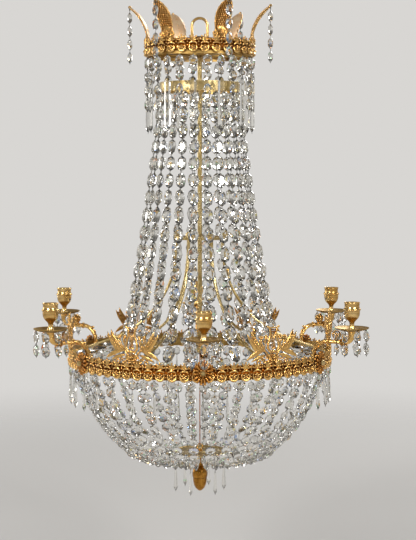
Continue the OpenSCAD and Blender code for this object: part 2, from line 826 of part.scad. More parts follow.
module candle_arms() {
    color(gilt) around(6, first_arm) difference() {
        union() {
            translate([arm_foot_r, 0, ring_z + 5])
                cylinder(d = arm_d, h = arm_z - arm_bend_r - ring_z - 5);
            translate([arm_foot_r, -arm_d / 2, ring_mid_z - 9])
                cube([hoop_in_r - seat - 0.2 - arm_foot_r, arm_d, 18]);
            translate([arm_run_r, 0, arm_z - arm_bend_r]) arc_bar(arm_bend_r, arm_d, 90, 90);
            translate([arm_run_r, 0, arm_z]) rotate([0, 90, 0]) cylinder(d = arm_d, h = arm_run_l);
            translate([horn_run_r, 0, horn_z]) arc_bar(horn_r, horn_d, -90, 90);
            translate([candle_r, 0, horn_z]) cylinder(d = horn_d, h = pan_z - horn_z);
            translate([candle_r, 0, pan_z - 1]) cylinder(d = stud_d, h = stud_h + 1);
            translate([horn_run_r - 3, 0, arm_z]) rotate([0, 90, 0]) cylinder(d = horn_d + 3, h = 4);
            translate([arm_run_r, 0, arm_z - arm_bend_r]) rotate([0, -140, 0])
                translate([arm_bend_r + 5, 0, 0]) sphere(d = 8);
            translate([horn_run_r - 1, 0, arm_z]) rotate([90, 0, 0]) linear_extrude(6, center = true)
                polygon([[0, -5], [-4, -10], [-11, -16], [-14, -14], [-10, -3], [0, 0]]);
        }
        translate([arm_foot_r - 3, 0, ring_mid_z]) rotate([0, 90, 0]) cylinder(d = screw_d + 0.1, h = 20);
    }
}

// Little flower basket that straddles each arm
module arm_baskets() {
    r = basket_knob_d / 2;
    h = basket_knob_h;
    color(bright_gilt) around(6, first_arm) difference() {
        translate([basket_knob_r, 0, arm_z + 1]) rotate_extrude()
            polygon([[0, 0], [r * 0.6, 0], [r * 0.75, h * 0.18], [r * 0.8, h * 0.49], [r, h * 0.62],
                [r, h * 0.73], [r * 0.8, h * 0.76], [r * 0.7, h * 0.89], [0, h]]);
        translate([basket_knob_r - basket_knob_d, 0, arm_z]) rotate([0, 90, 0])
            cylinder(d = arm_d + 0.2, h = 2 * basket_knob_d);
    }
}

module drip_pans() {
    edge = pan_d / 2;
    color(gilt) around(6, first_arm) translate([candle_r, 0, pan_z]) rotate_extrude($fn = 64)
        polygon([[stud_d / 2 + 0.2, 0], [horn_d / 2 + 2, 0], [edge * 0.55, 0.6], [edge - 3, 4.2],
            [edge, 6.4], [edge, 7.6], [edge - 4, 5.8], [edge * 0.55, 2.4], [12, 1.8],
            [11, pan_h - 0.2], [stud_d / 2 + 0.2, pan_h - 0.2]]);
}

module candle_cup(k) {
    bore_r = candle_bore_d / 2;
    floor_h = cup_h - candle_bore_h;
    color(bright_gilt) rotate([0, 0, first_arm + 60 * (k - 1)]) translate([candle_r, 0, cup_z])
        difference() {
            rotate_extrude($fn = 64)
                polygon([[0, 0], [8.5, 0], [8, 2], [5.6, 5], [5.2, 9], [6.5, cup_neck_h],
                    [cup_bowl_r - 4, 20], [cup_bowl_r, 28], [cup_bowl_r - 0.2, 37],
                    [cup_bowl_r + 1.2, 38.5], [cup_bowl_r + 1.2, 41], [cup_bowl_r - 1.2, 42.5],
                    [cup_bowl_r - 1.4, 50], [cup_rim_r, cup_h - 1.6], [cup_rim_r, cup_h], [0, cup_h]]);
            translate([0, 0, floor_h]) cylinder(r = bore_r, h = candle_bore_h + 1);
            translate([0, 0, -1]) cylinder(d = stud_d + 0.2, h = stud_h - pan_h + 1 + seat);
            translate([0, 0, 30]) rotate([0, 90, 0]) cylinder(d = 3.4, h = 30, $fn = 16);
        }
}

// Base: a thin copper link from the stem's foot to the ring bolt
module base_link() {
    eye_z = bolt_ring_z + bolt_ring_r + link_eye_r - link_d / 2 - bolt_ring_d / 2 - 0.15;
    head_z = stem_foot_z - foot_nut_h + foot_floor_h + seat;
    color(dull_brass) {
        translate([0, 0, head_z]) cylinder(d = rod_d - 0.4, h = link_head_h);
        translate([0, 0, eye_z + link_eye_r]) cylinder(d = link_d, h = head_z - eye_z - link_eye_r + sink);
        translate([0, 0, eye_z]) rotate([0, 90, 0]) rotate_extrude()
            translate([link_eye_r, 0]) circle(d = link_d, $fn = 16);
    }
}

module bottom_plate() {
    color(gilt) translate([0, 0, plate_z]) difference() {
        rotate_extrude($fn = 96)
            polygon([[0, 0], [plate_r - 6, 0], [plate_r, 1.4], [plate_r, plate_h - 1], [plate_r - 2, plate_h],
                [plate_r - 5, 3], [20, 3], [16, plate_h], [0, plate_h]]);
        translate([0, 0, -1]) cylinder(d = rod_d + 0.2, h = plate_h + 2);
    }
}

// Ring bolt: it hangs on the link inside the basket, and holds the acorn under the plate
module pull_ring() {
    color(gilt) {
        translate([0, 0, bolt_end_z]) cylinder(d = rod_d, h = plate_z + plate_h + seat + 1 - bolt_end_z);
        translate([0, 0, plate_z + plate_h + seat]) cylinder(d = 12, h = bolt_collar_h);
        translate([0, 0, bolt_ring_z]) rotate([90, 0, 0]) rotate_extrude()
            translate([bolt_ring_r, 0]) circle(d = bolt_ring_d, $fn = 16);
    }
}

module acorn_cap() {
    color(gilt) translate([0, 0, acorn_z]) difference() {
        rotate_extrude($fn = 64)
            polygon([[0, base_neck_h - nut_h - 2 * seat], [5.5, base_neck_h - nut_h - 2 * seat], [5, 6],
                [6.5, 0], [acorn_d * 0.33, -acorn_cap_h * 0.09], [acorn_d * 0.43, -acorn_cap_h * 0.26],
                [acorn_d * 0.485, -acorn_cap_h * 0.48], [acorn_d / 2, -acorn_cap_h * 0.68],
                [acorn_d * 0.495, -acorn_cap_h * 0.86], [acorn_d * 0.46, -acorn_cap_h + 0.6],
                [acorn_d * 0.44, -acorn_cap_h], [0, -acorn_cap_h]]);
        translate([0, 0, -acorn_cap_h - 1]) cylinder(d = rod_d + 0.2, h = base_neck_h + acorn_cap_h + 2);
    }
}

module acorn_nut() {
    low = acorn_h - acorn_cap_h;
    r = acorn_d * 0.455;
    color(bright_gilt) translate([0, 0, acorn_z - acorn_cap_h - seat]) difference() {
        rotate_extrude($fn = 64)
            polygon([[0, 0], [r, 0], [r, -low * 0.12], [r * 0.98, -low * 0.28], [r * 0.87, -low * 0.54],
                [r * 0.64, -low * 0.78], [r * 0.36, -low * 0.93], [r * 0.12, -low], [0, -low]]);
        translate([0, 0, -13]) cylinder(d = rod_d + 0.2, h = 14);
    }
}

// Crystal on the corona
module corona_strings() {
    color(crystal_white) {
        around(corona_count, corona_turn + 15) for (i = [0:corona_string_beads - 1])
            hanging_bead(corona_hang_r, corona_hang_z - i * corona_bead_l, corona_bead_l,
                corona_bead_w - 2 * i, corona_bead_t);
        around(corona_count, corona_turn) {
            hanging_bead(corona_hang_r, corona_hang_z, corona_bead_l, corona_bead_w - 2, corona_bead_t);
            hanging_bead(corona_hang_r, corona_hang_z - corona_bead_l, small_bead_l, small_bead_w, 8);
        }
    }
}

module corona_prisms() {
    top = corona_hang_z - corona_bead_l - small_bead_l;
    color(crystal_white) around(corona_count, corona_turn) translate([corona_hang_r, 0, top - prism_l])
        intersection() {
            linear_extrude(prism_l - bead_gap)
                polygon([[-prism_t / 2, 0], [0, -prism_w / 2], [prism_t / 2, 0], [0, prism_w / 2]]);
            rotate([90, 0, 90]) linear_extrude(prism_t, center = true)
                polygon([[0.5, 0], [prism_w / 2, prism_w], [prism_w / 2, prism_l - prism_w], [1.2, prism_l],
                    [-1.2, prism_l], [-prism_w / 2, prism_l - prism_w], [-prism_w / 2, prism_w], [-0.5, 0]]);
        }
}

// Tent: a third of the strands in each node
module tent_strand() {
    for (j = [0:tent_beads - 1]) {
        w = tent_bead_w + (tent_foot_w - tent_bead_w) * j / (tent_beads - 1);
        bead_between(tent_joints[j], tent_joints[j + 1], w, w * tent_t_ratio, 0.25);
    }
}

module tent_third(k) {
    per = tent_strands / 3;
    step = 360 / tent_strands;
    color(crystal_white) for (i = [0:per - 1])
        rotate([0, 0, first_arm - 60 + (k - 1) * 120 + (i + 0.5) * step]) tent_strand();
}

// Basket: beads turn edge-on where the strands crowd together
module basket_strand() {
    for (j = [0:basket_beads - 1]) {
        a = basket_joints[j];
        b = basket_joints[j + 1];
        crowded = 2 * PI * min(a[0], b[0]) / basket_strands < edge_on_pitch;
        bead_between(a, b, basket_bead_w, basket_bead_t, 0, crowded ? 90 : 0);
    }
}

module basket_third(k) {
    per = basket_strands / 3;
    step = 360 / basket_strands;
    color(crystal_white) for (i = [0:per - 1])
        rotate([0, 0, first_arm - 60 + (k - 1) * 120 + (i + 0.5) * step]) basket_strand();
}

module pan_drops() {
    top = pan_z + pan_h - seat;
    side = (pan_drop_count - 1) / 2;
    color(crystal_white) around(6, first_arm) translate([candle_r, 0, 0])
        for (k = [-side:side]) rotate([0, 0, k * pan_drop_step]) for (i = [0:1])
            hanging_bead(pan_d / 2 - 3, top - i * pan_bead_l, pan_bead_l, pan_bead_w - 2 + 2 * i, pan_bead_t);
}

module ring_spears() {
    top = ring_z - seat;
    color(crystal_white) around(ring_spear_count) {
        hanging_bead(spear_r, top, spear_bead_l, spear_bead_w, spear_bead_t);
        spear(spear_r, top - spear_bead_l, spear_l, spear_d);
    }
}

module bottom_spears() {
    top = plate_z - seat;
    r = plate_r - 7;
    color(crystal_white) around(bottom_spear_count, 15) {
        hanging_bead(r, top, bottom_spear_bead_l, spear_bead_w - 2, spear_bead_t);
        spear(r, top - bottom_spear_bead_l, bottom_spear_l, spear_d);
    }
}

hanger_shackle();
hanger_pin();
stem_rod();
stem_tubes();
stem_nuts();
corona_hoop();
corona_gallery();
corona_crest();
corona_spider();
plumes();
plume_sockets();
inner_ring();
inner_spider();
spreader();
stay_rods();
stay_nuts();
ring_hoop();
ring_gallery();
ring_crest();
arm_plaques();
ring_screws();
lyres();
lyre_wings();
candle_arms();
arm_baskets();
drip_pans();
candle_cup(1);  // candle_cup_1
candle_cup(2);  // candle_cup_2
candle_cup(3);  // candle_cup_3
candle_cup(4);  // candle_cup_4
candle_cup(5);  // candle_cup_5
candle_cup(6);  // candle_cup_6
base_link();
bottom_plate();
pull_ring();
acorn_cap();
acorn_nut();
corona_strings();
corona_prisms();
plume_hook(1);  // plume_hook_1
plume_hook(2);  // plume_hook_2
plume_hook(3);  // plume_hook_3
plume_hook(4);  // plume_hook_4
plume_hook(5);  // plume_hook_5
plume_hook(6);  // plume_hook_6
plume_drop(1);  // plume_drop_1
plume_drop(2);  // plume_drop_2
plume_drop(3);  // plume_drop_3
plume_drop(4);  // plume_drop_4
plume_drop(5);  // plume_drop_5
plume_drop(6);  // plume_drop_6
tent_third(1);  // tent_strands_1
tent_third(2);  // tent_strands_2
tent_third(3);  // tent_strands_3
basket_third(1);  // basket_strands_1
basket_third(2);  // basket_strands_2
basket_third(3);  // basket_strands_3
pan_drops();
ring_spears();
bottom_spears();
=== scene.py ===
"""Looks of a tent and bag chandelier with six candle arms, in fire-gilt brass and cut crystal.

Shapes are worked out in millimetres, with X outward, Y along the ring and Z up, and are turned
round the stem's axis. They become metres when a piece is made. Places come from the frame's own
nodes, and where a casting follows a bend, from the sizes that the bend has in the part.
"""

import logging
import math
from dataclasses import dataclass, replace
from enum import Enum
from functools import lru_cache
from typing import Callable, Iterable, Sequence

import bmesh
import bpy
import numpy as np
from bpy.types import Material, Mesh, Node, NodeSocket, NodeTree, Object
from mathutils import Matrix, Vector
from mathutils.bvhtree import BVHTree
from numpy import ndarray


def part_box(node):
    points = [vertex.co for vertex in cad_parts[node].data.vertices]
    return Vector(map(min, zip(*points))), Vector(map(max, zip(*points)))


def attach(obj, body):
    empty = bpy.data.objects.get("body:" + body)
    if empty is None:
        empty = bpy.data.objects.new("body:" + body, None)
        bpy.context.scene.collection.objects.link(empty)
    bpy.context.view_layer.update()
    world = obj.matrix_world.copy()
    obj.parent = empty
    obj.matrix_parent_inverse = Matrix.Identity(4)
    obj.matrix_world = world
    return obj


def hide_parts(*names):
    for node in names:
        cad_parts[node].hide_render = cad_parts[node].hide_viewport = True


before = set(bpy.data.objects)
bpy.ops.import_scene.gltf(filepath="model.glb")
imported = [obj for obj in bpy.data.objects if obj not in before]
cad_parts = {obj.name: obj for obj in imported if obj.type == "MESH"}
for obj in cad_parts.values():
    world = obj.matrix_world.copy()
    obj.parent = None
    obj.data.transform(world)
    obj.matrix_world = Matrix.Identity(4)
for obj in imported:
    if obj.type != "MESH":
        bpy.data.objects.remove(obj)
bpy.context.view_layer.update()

LOG = logging.getLogger("chandelier")
MM = 0.001
BODY = "chandelier"
ARMS = 6
FIRST_ARM = -90.0
ARM_STEP = 360.0 / ARMS
# How far the ground of a gallery stands out from its hoop
CASTING_OUT = 2.2
Points = Sequence[Sequence[float]]
Place = tuple[float, float, float]


class Slot(Enum):
    """Material slots, one of which is passed with each new piece."""

    ORMOLU = "ormolu"
    IRON = "iron"
    CRYSTAL = "crystal"


# Shapes


@dataclass(frozen=True)
class Shape:
    """A mesh in millimetres, whose faces hold four points, or three and a -1.

    Attributes:
        points: One row for each point.
        faces: One row for each face.
        relief: For each point, 0 in the ground of a casting, which paints full shade there, to 1 on its
            burnished tops.
        smooth: For each face, whether it is shaded smooth.
    """

    points: ndarray
    faces: ndarray
    relief: ndarray
    smooth: ndarray

    def moved(self, x: float = 0.0, y: float = 0.0, z: float = 0.0) -> "Shape":
        """Give the shape moved by an offset."""
        return self.mapped(lambda p: p + np.array([x, y, z]))

    def mapped(self, rule: Callable[[ndarray], ndarray]) -> "Shape":
        """Give the shape with its points changed by a rule."""
        return replace(self, points=rule(self.points))

    def turned(self, degrees: float, axis: str = "Z") -> "Shape":
        """Give the shape turned about one of the main axes."""
        turn = np.array(Matrix.Rotation(math.radians(degrees), 3, axis))
        return self.mapped(lambda p: p @ turn.T)

    def mirrored(self) -> "Shape":
        """Give the shape mirrored along the ring."""
        return self.mapped(lambda p: p * np.array([1.0, -1.0, 1.0]))

    def raised(self, relief: float) -> "Shape":
        """Give the shape with one relief value all over."""
        return replace(self, relief=np.full(len(self.points), relief))

    def flat(self) -> "Shape":
        """Give the shape with flat facets."""
        return replace(self, smooth=np.zeros(len(self.faces), bool))


def plain(points: ndarray, faces: ndarray, relief: float = 1.0, smooth: bool = True) -> Shape:
    """Give a shape with one relief value and one way of shading all over."""
    return Shape(points, faces, np.full(len(points), relief), np.full(len(faces), smooth))


def triangles(first: ndarray, second: ndarray, third: ndarray | int) -> ndarray:
    """Give one row for each triangle, with -1 in place of a fourth point."""
    return np.stack(np.broadcast_arrays(first, second, third, -1), axis=1)


def joined(shapes: Iterable[Shape]) -> Shape:
    """Join shapes into one.

    Args:
        shapes: The shapes, in any order.

    Returns:
        One shape that holds them all.
    """
    parts = list(shapes)
    starts = np.cumsum([0] + [len(part.points) for part in parts[:-1]])
    faces = [np.where(part.faces < 0, -1, part.faces + start) for part, start in zip(parts, starts)]
    points, relief, smooth = (np.concatenate([getattr(part, field) for part in parts])
                              for field in ("points", "relief", "smooth"))
    return Shape(points, np.concatenate(faces), relief, smooth)


def around(shape: Shape, count: int, first: float = 0.0) -> Shape:
    """Give copies of a shape, evenly spaced round the stem."""
    return joined(shape.turned(first + i * 360.0 / count) for i in range(count))


def wrapped(shape: Shape, radius: float) -> Shape:
    """Bend a flat ornament round the stem.

    Args:
        shape: An ornament in the YZ plane that faces +X, with its ground at x = 0.
        radius: The radius that its ground takes.

    Returns:
        The bent ornament, with its middle on the X axis.
    """
    def bend(p: ndarray) -> ndarray:
        angle = p[:, 1] / radius
        reach = radius + p[:, 0]
        return np.stack([reach * np.cos(angle), reach * np.sin(angle), p[:, 2]], axis=1)

    return shape.mapped(bend)


def circle(sides: int, lobes: int = 0, depth: float = 0.0) -> ndarray:
    """Give a unit circle's points, with an optional number of lobes cut by a depth."""
    angle = np.arange(sides) * 2 * math.pi / sides
    radius = 1.0 + depth * np.cos(angle * lobes)
    return np.stack([radius * np.cos(angle), radius * np.sin(angle)], axis=1)


ROUND = circle(8)
FINE_ROUND = circle(12)
THIN_ROUND = circle(5)
ROPE = circle(16, 4, 0.07)
# A leaf's section: a groove along its rib, two swollen halves, and a plain back
BLADE = np.array([[-1.0, 0.0], [-0.82, 0.5], [-0.45, 0.8], [-0.12, 0.35], [0.0, 0.6], [0.12, 0.35],
                  [0.45, 0.8], [0.82, 0.5], [1.0, 0.0], [0.5, -0.35], [-0.5, -0.35]])


def curve(points: Points, steps: int) -> ndarray:
    """Give points along a Bezier curve.

    Args:
        points: Its control points.
        steps: How many steps it is drawn in.

    Returns:
        One row for each point along it.
    """
    control = np.asarray(points, float)
    t = np.linspace(0.0, 1.0, steps + 1)[:, None]
    order = len(control) - 1
    return sum(math.comb(order, i) * t ** i * (1 - t) ** (order - i) * control[i]
               for i in range(order + 1))


def sweep(path: ndarray, section: ndarray, width: float | ndarray,
          depth: float | ndarray | None = None, face: Sequence[float] = (1.0, 0.0, 0.0),
          turn: float = 0.0, closed: bool = False, back: float = 1.0) -> Shape:
    """Draw a section along a path.

    Args:
        path: The points that it follows.
        section: Unit points across the path and out of its face.
        width: Half width along the path.
        depth: Half depth along the path, or the same as the width.
        face: The direction that the section's face looks in.
        turn: Degrees by which the section turns at each step.
        closed: Whether the path joins its own start.
        back: Relief of the side that looks away; below 1 it paints shade on that side.

    Returns:
        The swept shape, with its ends closed.
    """
    path = np.asarray(path, float)
    count, sides = len(path), len(section)
    if closed:
        tangent = np.roll(path, -1, axis=0) - np.roll(path, 1, axis=0)
    else:
        tangent = np.gradient(path, axis=0)
    tangent /= np.linalg.norm(tangent, axis=1)[:, None]
    side = np.cross(np.asarray(face, float), tangent)
    side /= np.linalg.norm(side, axis=1)[:, None]
    normal = np.cross(tangent, side)
    wide = np.broadcast_to(np.asarray(width, float), (count,))
    deep = wide if depth is None else np.broadcast_to(np.asarray(depth, float), (count,))
    angle = np.radians(turn) * np.arange(count)[:, None]
    across = section[:, 0] * np.cos(angle) - section[:, 1] * np.sin(angle)
    out = section[:, 0] * np.sin(angle) + section[:, 1] * np.cos(angle)
    rings = (path[:, None] + side[:, None] * (across * wide[:, None])[..., None]
             + normal[:, None] * (out * deep[:, None])[..., None])
    # The side that looks away takes the relief back, which paints shade there when it is below 1
    relief = np.where(out < -0.01, back, 1.0).reshape(-1)
    index = np.arange(count * sides).reshape(count, sides)
    if closed:
        index = np.vstack([index, index[:1]])
    a, b = index[:-1], index[1:]
    faces = np.stack([a, np.roll(a, -1, 1), np.roll(b, -1, 1), b], axis=-1).reshape(-1, 4)
    points = rings.reshape(-1, 3)
    if not closed:
        points = np.vstack([points, path[0], path[-1]])
        relief = np.append(relief, [1.0, 1.0])
        for ring, centre in ((index[0], count * sides), (index[-1], count * sides + 1)):
            faces = np.vstack([faces, triangles(ring, np.roll(ring, -1), centre)])
    return Shape(points, faces, relief, np.ones(len(faces), bool))


def revolve(profile: Points, steps: int, closed: bool = False,
            lobes: int = 0, depth: float = 0.0) -> Shape:
    """Turn a profile round the Z axis.

    Args:
        profile: Points of radius and height. A radius of 0 at an end makes a pole.
        steps: Sides round the axis.
        closed: Whether the profile joins its own start, as a hoop's does.
        lobes: How many lobes run down the sides.
        depth: How deep they are cut, as a share of the radius.

    Returns:
        The turned shape.
    """
    rows = np.asarray(profile, float)
    angle = np.arange(steps) * 2 * math.pi / steps
    lobe = 1.0 + depth * np.cos(lobes * angle)
    points, rings = [], []
    for radius, height in rows:
        start = sum(len(part) for part in points)
        if radius < 1e-6:
            points.append(np.array([[0.0, 0.0, height]]))
            rings.append(np.full(steps, start))
        else:
            points.append(np.stack([radius * lobe * np.cos(angle), radius * lobe * np.sin(angle),
                                    np.full(steps, height)], axis=1))
            rings.append(start + np.arange(steps))
    if closed:
        rings.append(rings[0])
    faces = []
    for low, high in zip(rings[:-1], rings[1:]):
        if low[0] == low[-1]:
            faces.append(triangles(low, np.roll(high, -1), high))
        elif high[0] == high[-1]:
            faces.append(triangles(low, np.roll(low, -1), high))
        else:
            faces.append(np.stack([low, np.roll(low, -1), np.roll(high, -1), high], axis=1))
    return plain(np.concatenate(points), np.concatenate(faces))


@lru_cache
def unit_ball(steps: int, rings: int) -> Shape:
    """Give a ball of radius 1."""
    angle = np.linspace(-math.pi / 2, math.pi / 2, rings + 1)
    profile = [(max(math.cos(a), 0.0), math.sin(a)) for a in angle]
    profile[0] = (0.0, -1.0)
    profile[-1] = (0.0, 1.0)
    return revolve(profile, steps)


def ball(at: Sequence[float], size: Sequence[float] | float, steps: int = 8, rings: int = 5) -> Shape:
    """Give a ball or egg with its middle at a point and the given half sizes."""
    return unit_ball(steps, rings).mapped(lambda p: p * np.asarray(size, float) + np.asarray(at, float))


def torus(radius: float, wire: float, steps: int = 24) -> Shape:
    """Give a ring of wire that looks outward, round the origin."""
    path = np.column_stack([np.zeros(steps), radius * circle(steps)])
    return sweep(path, ROUND, wire, closed=True)


def swollen_arc(radius: float, ends: tuple[float, float], steps: int, out: float,
                thin: float, swell: float, power: float = 1.0) -> Shape:
    """Give a curved bar that looks outward and swells towards its middle.

    Args:
        radius: Its radius round the origin.
        ends: The angles at which it starts and ends, in degrees.
        steps: How many points it is drawn in.
        out: How far it stands out.
        thin: Its half width at the ends.
        swell: What is added in its middle.
        power: How soon it thins: higher is sooner.

    Returns:
        The bar.
    """
    angle = np.radians(np.linspace(*ends, steps))
    path = np.stack([np.full(steps, out), radius * np.cos(angle), radius * np.sin(angle)], axis=1)
    return sweep(path, ROUND, thin + swell * np.sin(np.linspace(0, math.pi, steps)) ** power)


def leaf(points: Points, width: float, thick: float, steps: int = 9,
         face: Sequence[float] = (1.0, 0.0, 0.0), back: float = 0.35, blunt: float = 0.8) -> Shape:
    """Give a leaf along a curve, widest before its middle and drawn to a point.

    Args:
        points: The curve's control points, from its foot.
        width: Its widest half width.
        thick: Its half thickness there.
        steps: How many steps it is drawn in.
        face: The direction that it looks in.
        back: Relief of its plain back, which paints shade on the back.
        blunt: How full it is: lower is fuller.

    Returns:
        The leaf.
    """
    t = np.linspace(0.0, 1.0, steps + 1)
    swell = np.maximum(np.sin(math.pi * (0.14 + 0.86 * t) ** 1.1) ** blunt, 0.06)
    return sweep(curve(points, steps), BLADE, width * swell, thick * (0.35 + 0.65 * swell), face,
                 back=back)


def flower(radius: float, petals: int, depth: float) -> Shape:
    """Give a rosette that looks outward.

    Args:
        radius: Its outer radius.
        petals: Petals round its boss.
        depth: How far its boss stands out.

    Returns:
        The rosette, round the origin.
    """
    petal = ball((depth * 0.45, 0.0, radius * 0.62),
                 (depth * 0.5, radius * 1.5 / petals, radius * 0.4), 8, 4)
    parts = [petal.turned(i * 360.0 / petals, "X") for i in range(petals)]
    return joined(parts + [ball((depth * 0.6, 0, 0), (depth * 0.6, radius * 0.26, radius * 0.26))])


def spiral(radius: float, turns: float, wire: float, hand: int) -> Shape:
    """Give a volute that looks outward and ends in a ball.

    Args:
        radius: Its outer radius.
        turns: How many turns it makes.
        wire: Its thickest half width.
        hand: 1 or -1, the way it winds.

    Returns:
        The volute, round the origin.
    """
    steps = int(16 * turns)
    t = np.linspace(0.0, 1.0, steps + 1)
    reach = radius * (1.0 - 0.8 * t)
    angle = math.pi / 2 + 2 * math.pi * turns * t
    path = np.stack([1.2 * t, hand * reach * np.cos(angle), reach * np.sin(angle)], axis=1)
    return joined([sweep(path, ROUND, wire * (1.0 - 0.45 * t)), ball(path[-1], wire * 1.1)])


def smooth_line(points: Points, steps: int = 4) -> list[tuple[float, float]]:
    """Draw a smooth profile through points.

    Args:
        points: Points of radius and height.
        steps: Steps from each point to the next.

    Returns:
        The profile's points.
    """
    knots = np.asarray(points, float)
    padded = np.vstack([2 * knots[0] - knots[1], knots, 2 * knots[-1] - knots[-2]])
    line = []
    for before, start, end, after in zip(padded, padded[1:], padded[2:], padded[3:]):
        for t in np.arange(steps) / steps:
            line.append(tuple(0.5 * (2 * start + (end - before) * t
                                     + (2 * before - 5 * start + 4 * end - after) * t ** 2
                                     + (3 * start - before - 3 * end + after) * t ** 3)))
    return line + [tuple(knots[-1])]


# Painted shade

# Shares of open directions at which a point is in full painted shade and fully bright, and how far
# above the surface they are tried from, in millimetres
CLOSED_IN, WIDE_OPEN, SKIN = 0.02, 0.5, 0.1


def raw_mesh(name: str, shape: Shape, colours: ndarray | None = None) -> Mesh:
    """Make a mesh in metres, with its faces turned outward.

    Args:
        name: The mesh's name.
        shape: Its shape, in millimetres.
        colours: A colour for each face, kept in the attribute "spark": the painted sparks of a crystal.

    Returns:
        The new mesh.
    """
    mesh = bpy.data.meshes.new(name)
    counts = np.where(shape.faces[:, 3] < 0, 3, 4)
    corners = shape.faces[shape.faces >= 0]
    mesh.vertices.add(len(shape.points))
    mesh.vertices.foreach_set("co", (shape.points * MM).astype(np.float32).ravel())
    mesh.loops.add(len(corners))
    mesh.loops.foreach_set("vertex_index", corners.astype(np.int32))
    mesh.polygons.add(len(counts))
    mesh.polygons.foreach_set("loop_start", np.append(0, np.cumsum(counts)[:-1]).astype(np.int32))
    mesh.polygons.foreach_set("use_smooth", shape.smooth)
    mesh.update(calc_edges=True)
    # The relief attribute carries the shade painted into a casting's hollows and grounds
    relief = mesh.attributes.new("relief", "FLOAT", "POINT")
    relief.data.foreach_set("value", shape.relief.astype(np.float32))
    # Painted sparks: a tint for each face of a crystal
    if colours is not None:
        spark = mesh.attributes.new("spark", "FLOAT_COLOR", "FACE")
        spark.data.foreach_set("color", colours.astype(np.float32).ravel())
    mesh.validate()
    work = bmesh.new()
    work.from_mesh(mesh)
    bmesh.ops.recalc_face_normals(work, faces=work.faces)
    work.to_mesh(mesh)
    work.free()
    return mesh


@lru_cache
def directions(count: int) -> ndarray:
    """Give directions spread evenly over a ball."""
    k = np.arange(count) + 0.5
    rise = 1.0 - 2.0 * k / count
    turn = k * math.pi * (3.0 - math.sqrt(5.0))
    flat = np.sqrt(1.0 - rise ** 2)
    return np.stack([flat * np.cos(turn), flat * np.sin(turn), rise], axis=1)


def wear_and_shade(shape: Shape, beside: Sequence[Shape] = (), reach: float = 6.0, rays: int = 24) -> Shape:
    """Paint shade into a casting's hollows: what stands proud stays bright, and what is closed in is
    darkened as painted shade.

    Args:
        shape: The casting, before it is repeated.
        beside: What stands next to it.
        reach: How far away a neighbour may be and still shade a point, in millimetres.
        rays: How many directions are tried from each point.

    Returns:
        The casting, with its relief lowered where a point is closed in, which paints shade there.
    """
    mesh = raw_mesh("Shade_test", shape)
    normals = np.empty(len(shape.points) * 3)
    mesh.vertices.foreach_get("normal", normals)
    bpy.data.meshes.remove(mesh)
    normals = normals.reshape(-1, 3)
    company = joined([shape, *beside])
    tree = BVHTree.FromPolygons(company.points.tolist(),
                                [row[row >= 0].tolist() for row in company.faces])
    ways = directions(rays)
    open_share = np.ones(len(shape.points))
    for i, (place, normal) in enumerate(zip(shape.points + normals * SKIN, normals)):
        start = Vector(place)
        outward = np.where((ways @ normal)[:, None] < 0, -ways, ways)
        blocked = sum(tree.ray_cast(start, Vector(way), reach)[0] is not None for way in outward)
        open_share[i] -= blocked / rays
    # The more closed in a point is, the more shade is painted on it
    lit_share = np.clip((open_share - CLOSED_IN) / (WIDE_OPEN - CLOSED_IN), 0.0, 1.0)
    return replace(shape, relief=shape.relief * lit_share)


# Pieces


class Workshop:
    """Makes pieces from shapes and hangs them on the frame."""

    def make(self, name: str, shape: Shape, finish: Material, slot: Slot,
             replaces: Sequence[str] = (), body: str = BODY,
             colours: ndarray | None = None) -> Object:
        """Make one piece.

        Args:
            name: The piece's name.
            shape: Its shape, in millimetres.
            finish: Its material.
            slot: Not used.
            replaces: CAD nodes that it stands for.
            body: The body that it rides on.
            colours: A colour for each face, kept in the attribute "spark": the painted sparks of a
                crystal.

        Returns:
            The new object.
        """
        mesh = raw_mesh(name, shape, colours)
        mesh.materials.append(finish)
        piece = bpy.data.objects.new(name, mesh)
        bpy.context.scene.collection.objects.link(piece)
        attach(piece, body)
        if replaces:
            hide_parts(*replaces)
        LOG.info("%s: %d points, %d faces", name, len(shape.points), len(shape.faces))
        return piece

    def dress(self, finish: Material, *nodes: str, angle: float = 32.0) -> None:
        """Give CAD nodes a finish and smooth their curved sides.

        Args:
            finish: The material.
            *nodes: The CAD nodes.
            angle: Edges sharper than this stay sharp, in degrees.
        """
        for node in nodes:
            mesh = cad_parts[node].data
            mesh.materials.clear()
            mesh.materials.append(finish)
            mesh.shade_smooth()
            mesh.set_sharp_from_angle(angle=math.radians(angle))
            LOG.info("%s: dressed", node)


@dataclass(frozen=True)
class Span:
    """Height and outer radius of a CAD node, in millimetres."""

    low: float
    high: float
    radius: float


def span(node: str) -> Span:
    """Give the span of a CAD node."""
    low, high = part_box(node)
    return Span(low[2] / MM, high[2] / MM, max(abs(high[0]), abs(low[0])) / MM)


def corona_turn() -> float:
    """Give the degrees by which the corona is turned on the stem, from its first hook."""
    low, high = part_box("plume_hook_1")
    return math.degrees(math.atan2(low[1] + high[1], low[0] + high[0]))


# Finishes


def linear(colour: str) -> tuple[float, float, float, float]:
    """Turn an sRGB hex colour into linear light.

    Args:
        colour: The colour, as six hex digits.

    Returns:
        Red, green, blue and an alpha of 1.
    """
    shares = [int(colour[i:i + 2], 16) / 255.0 for i in (0, 2, 4)]
    red, green, blue = (s / 12.92 if s <= 0.04045 else ((s + 0.055) / 1.055) ** 2.4 for s in shares)
    return (red, green, blue, 1.0)


def add_node(tree: NodeTree, kind: str, inputs: dict | None = None,
             **settings: object) -> Node:
    """Add one node to a tree.

    Args:
        tree: The node tree.
        kind: The shader node's type.
        inputs: For each input's name or number, a value, or a socket to link it to.
        **settings: The node's own properties.

    Returns:
        The new node.
    """
    node = tree.nodes.new("ShaderNode" + kind)
    for key, value in settings.items():
        setattr(node, key, value)
    for key, value in (inputs or {}).items():
        if isinstance(value, NodeSocket):
            tree.links.new(value, node.inputs[key])
        else:
            node.inputs[key].default_value = value
    return node


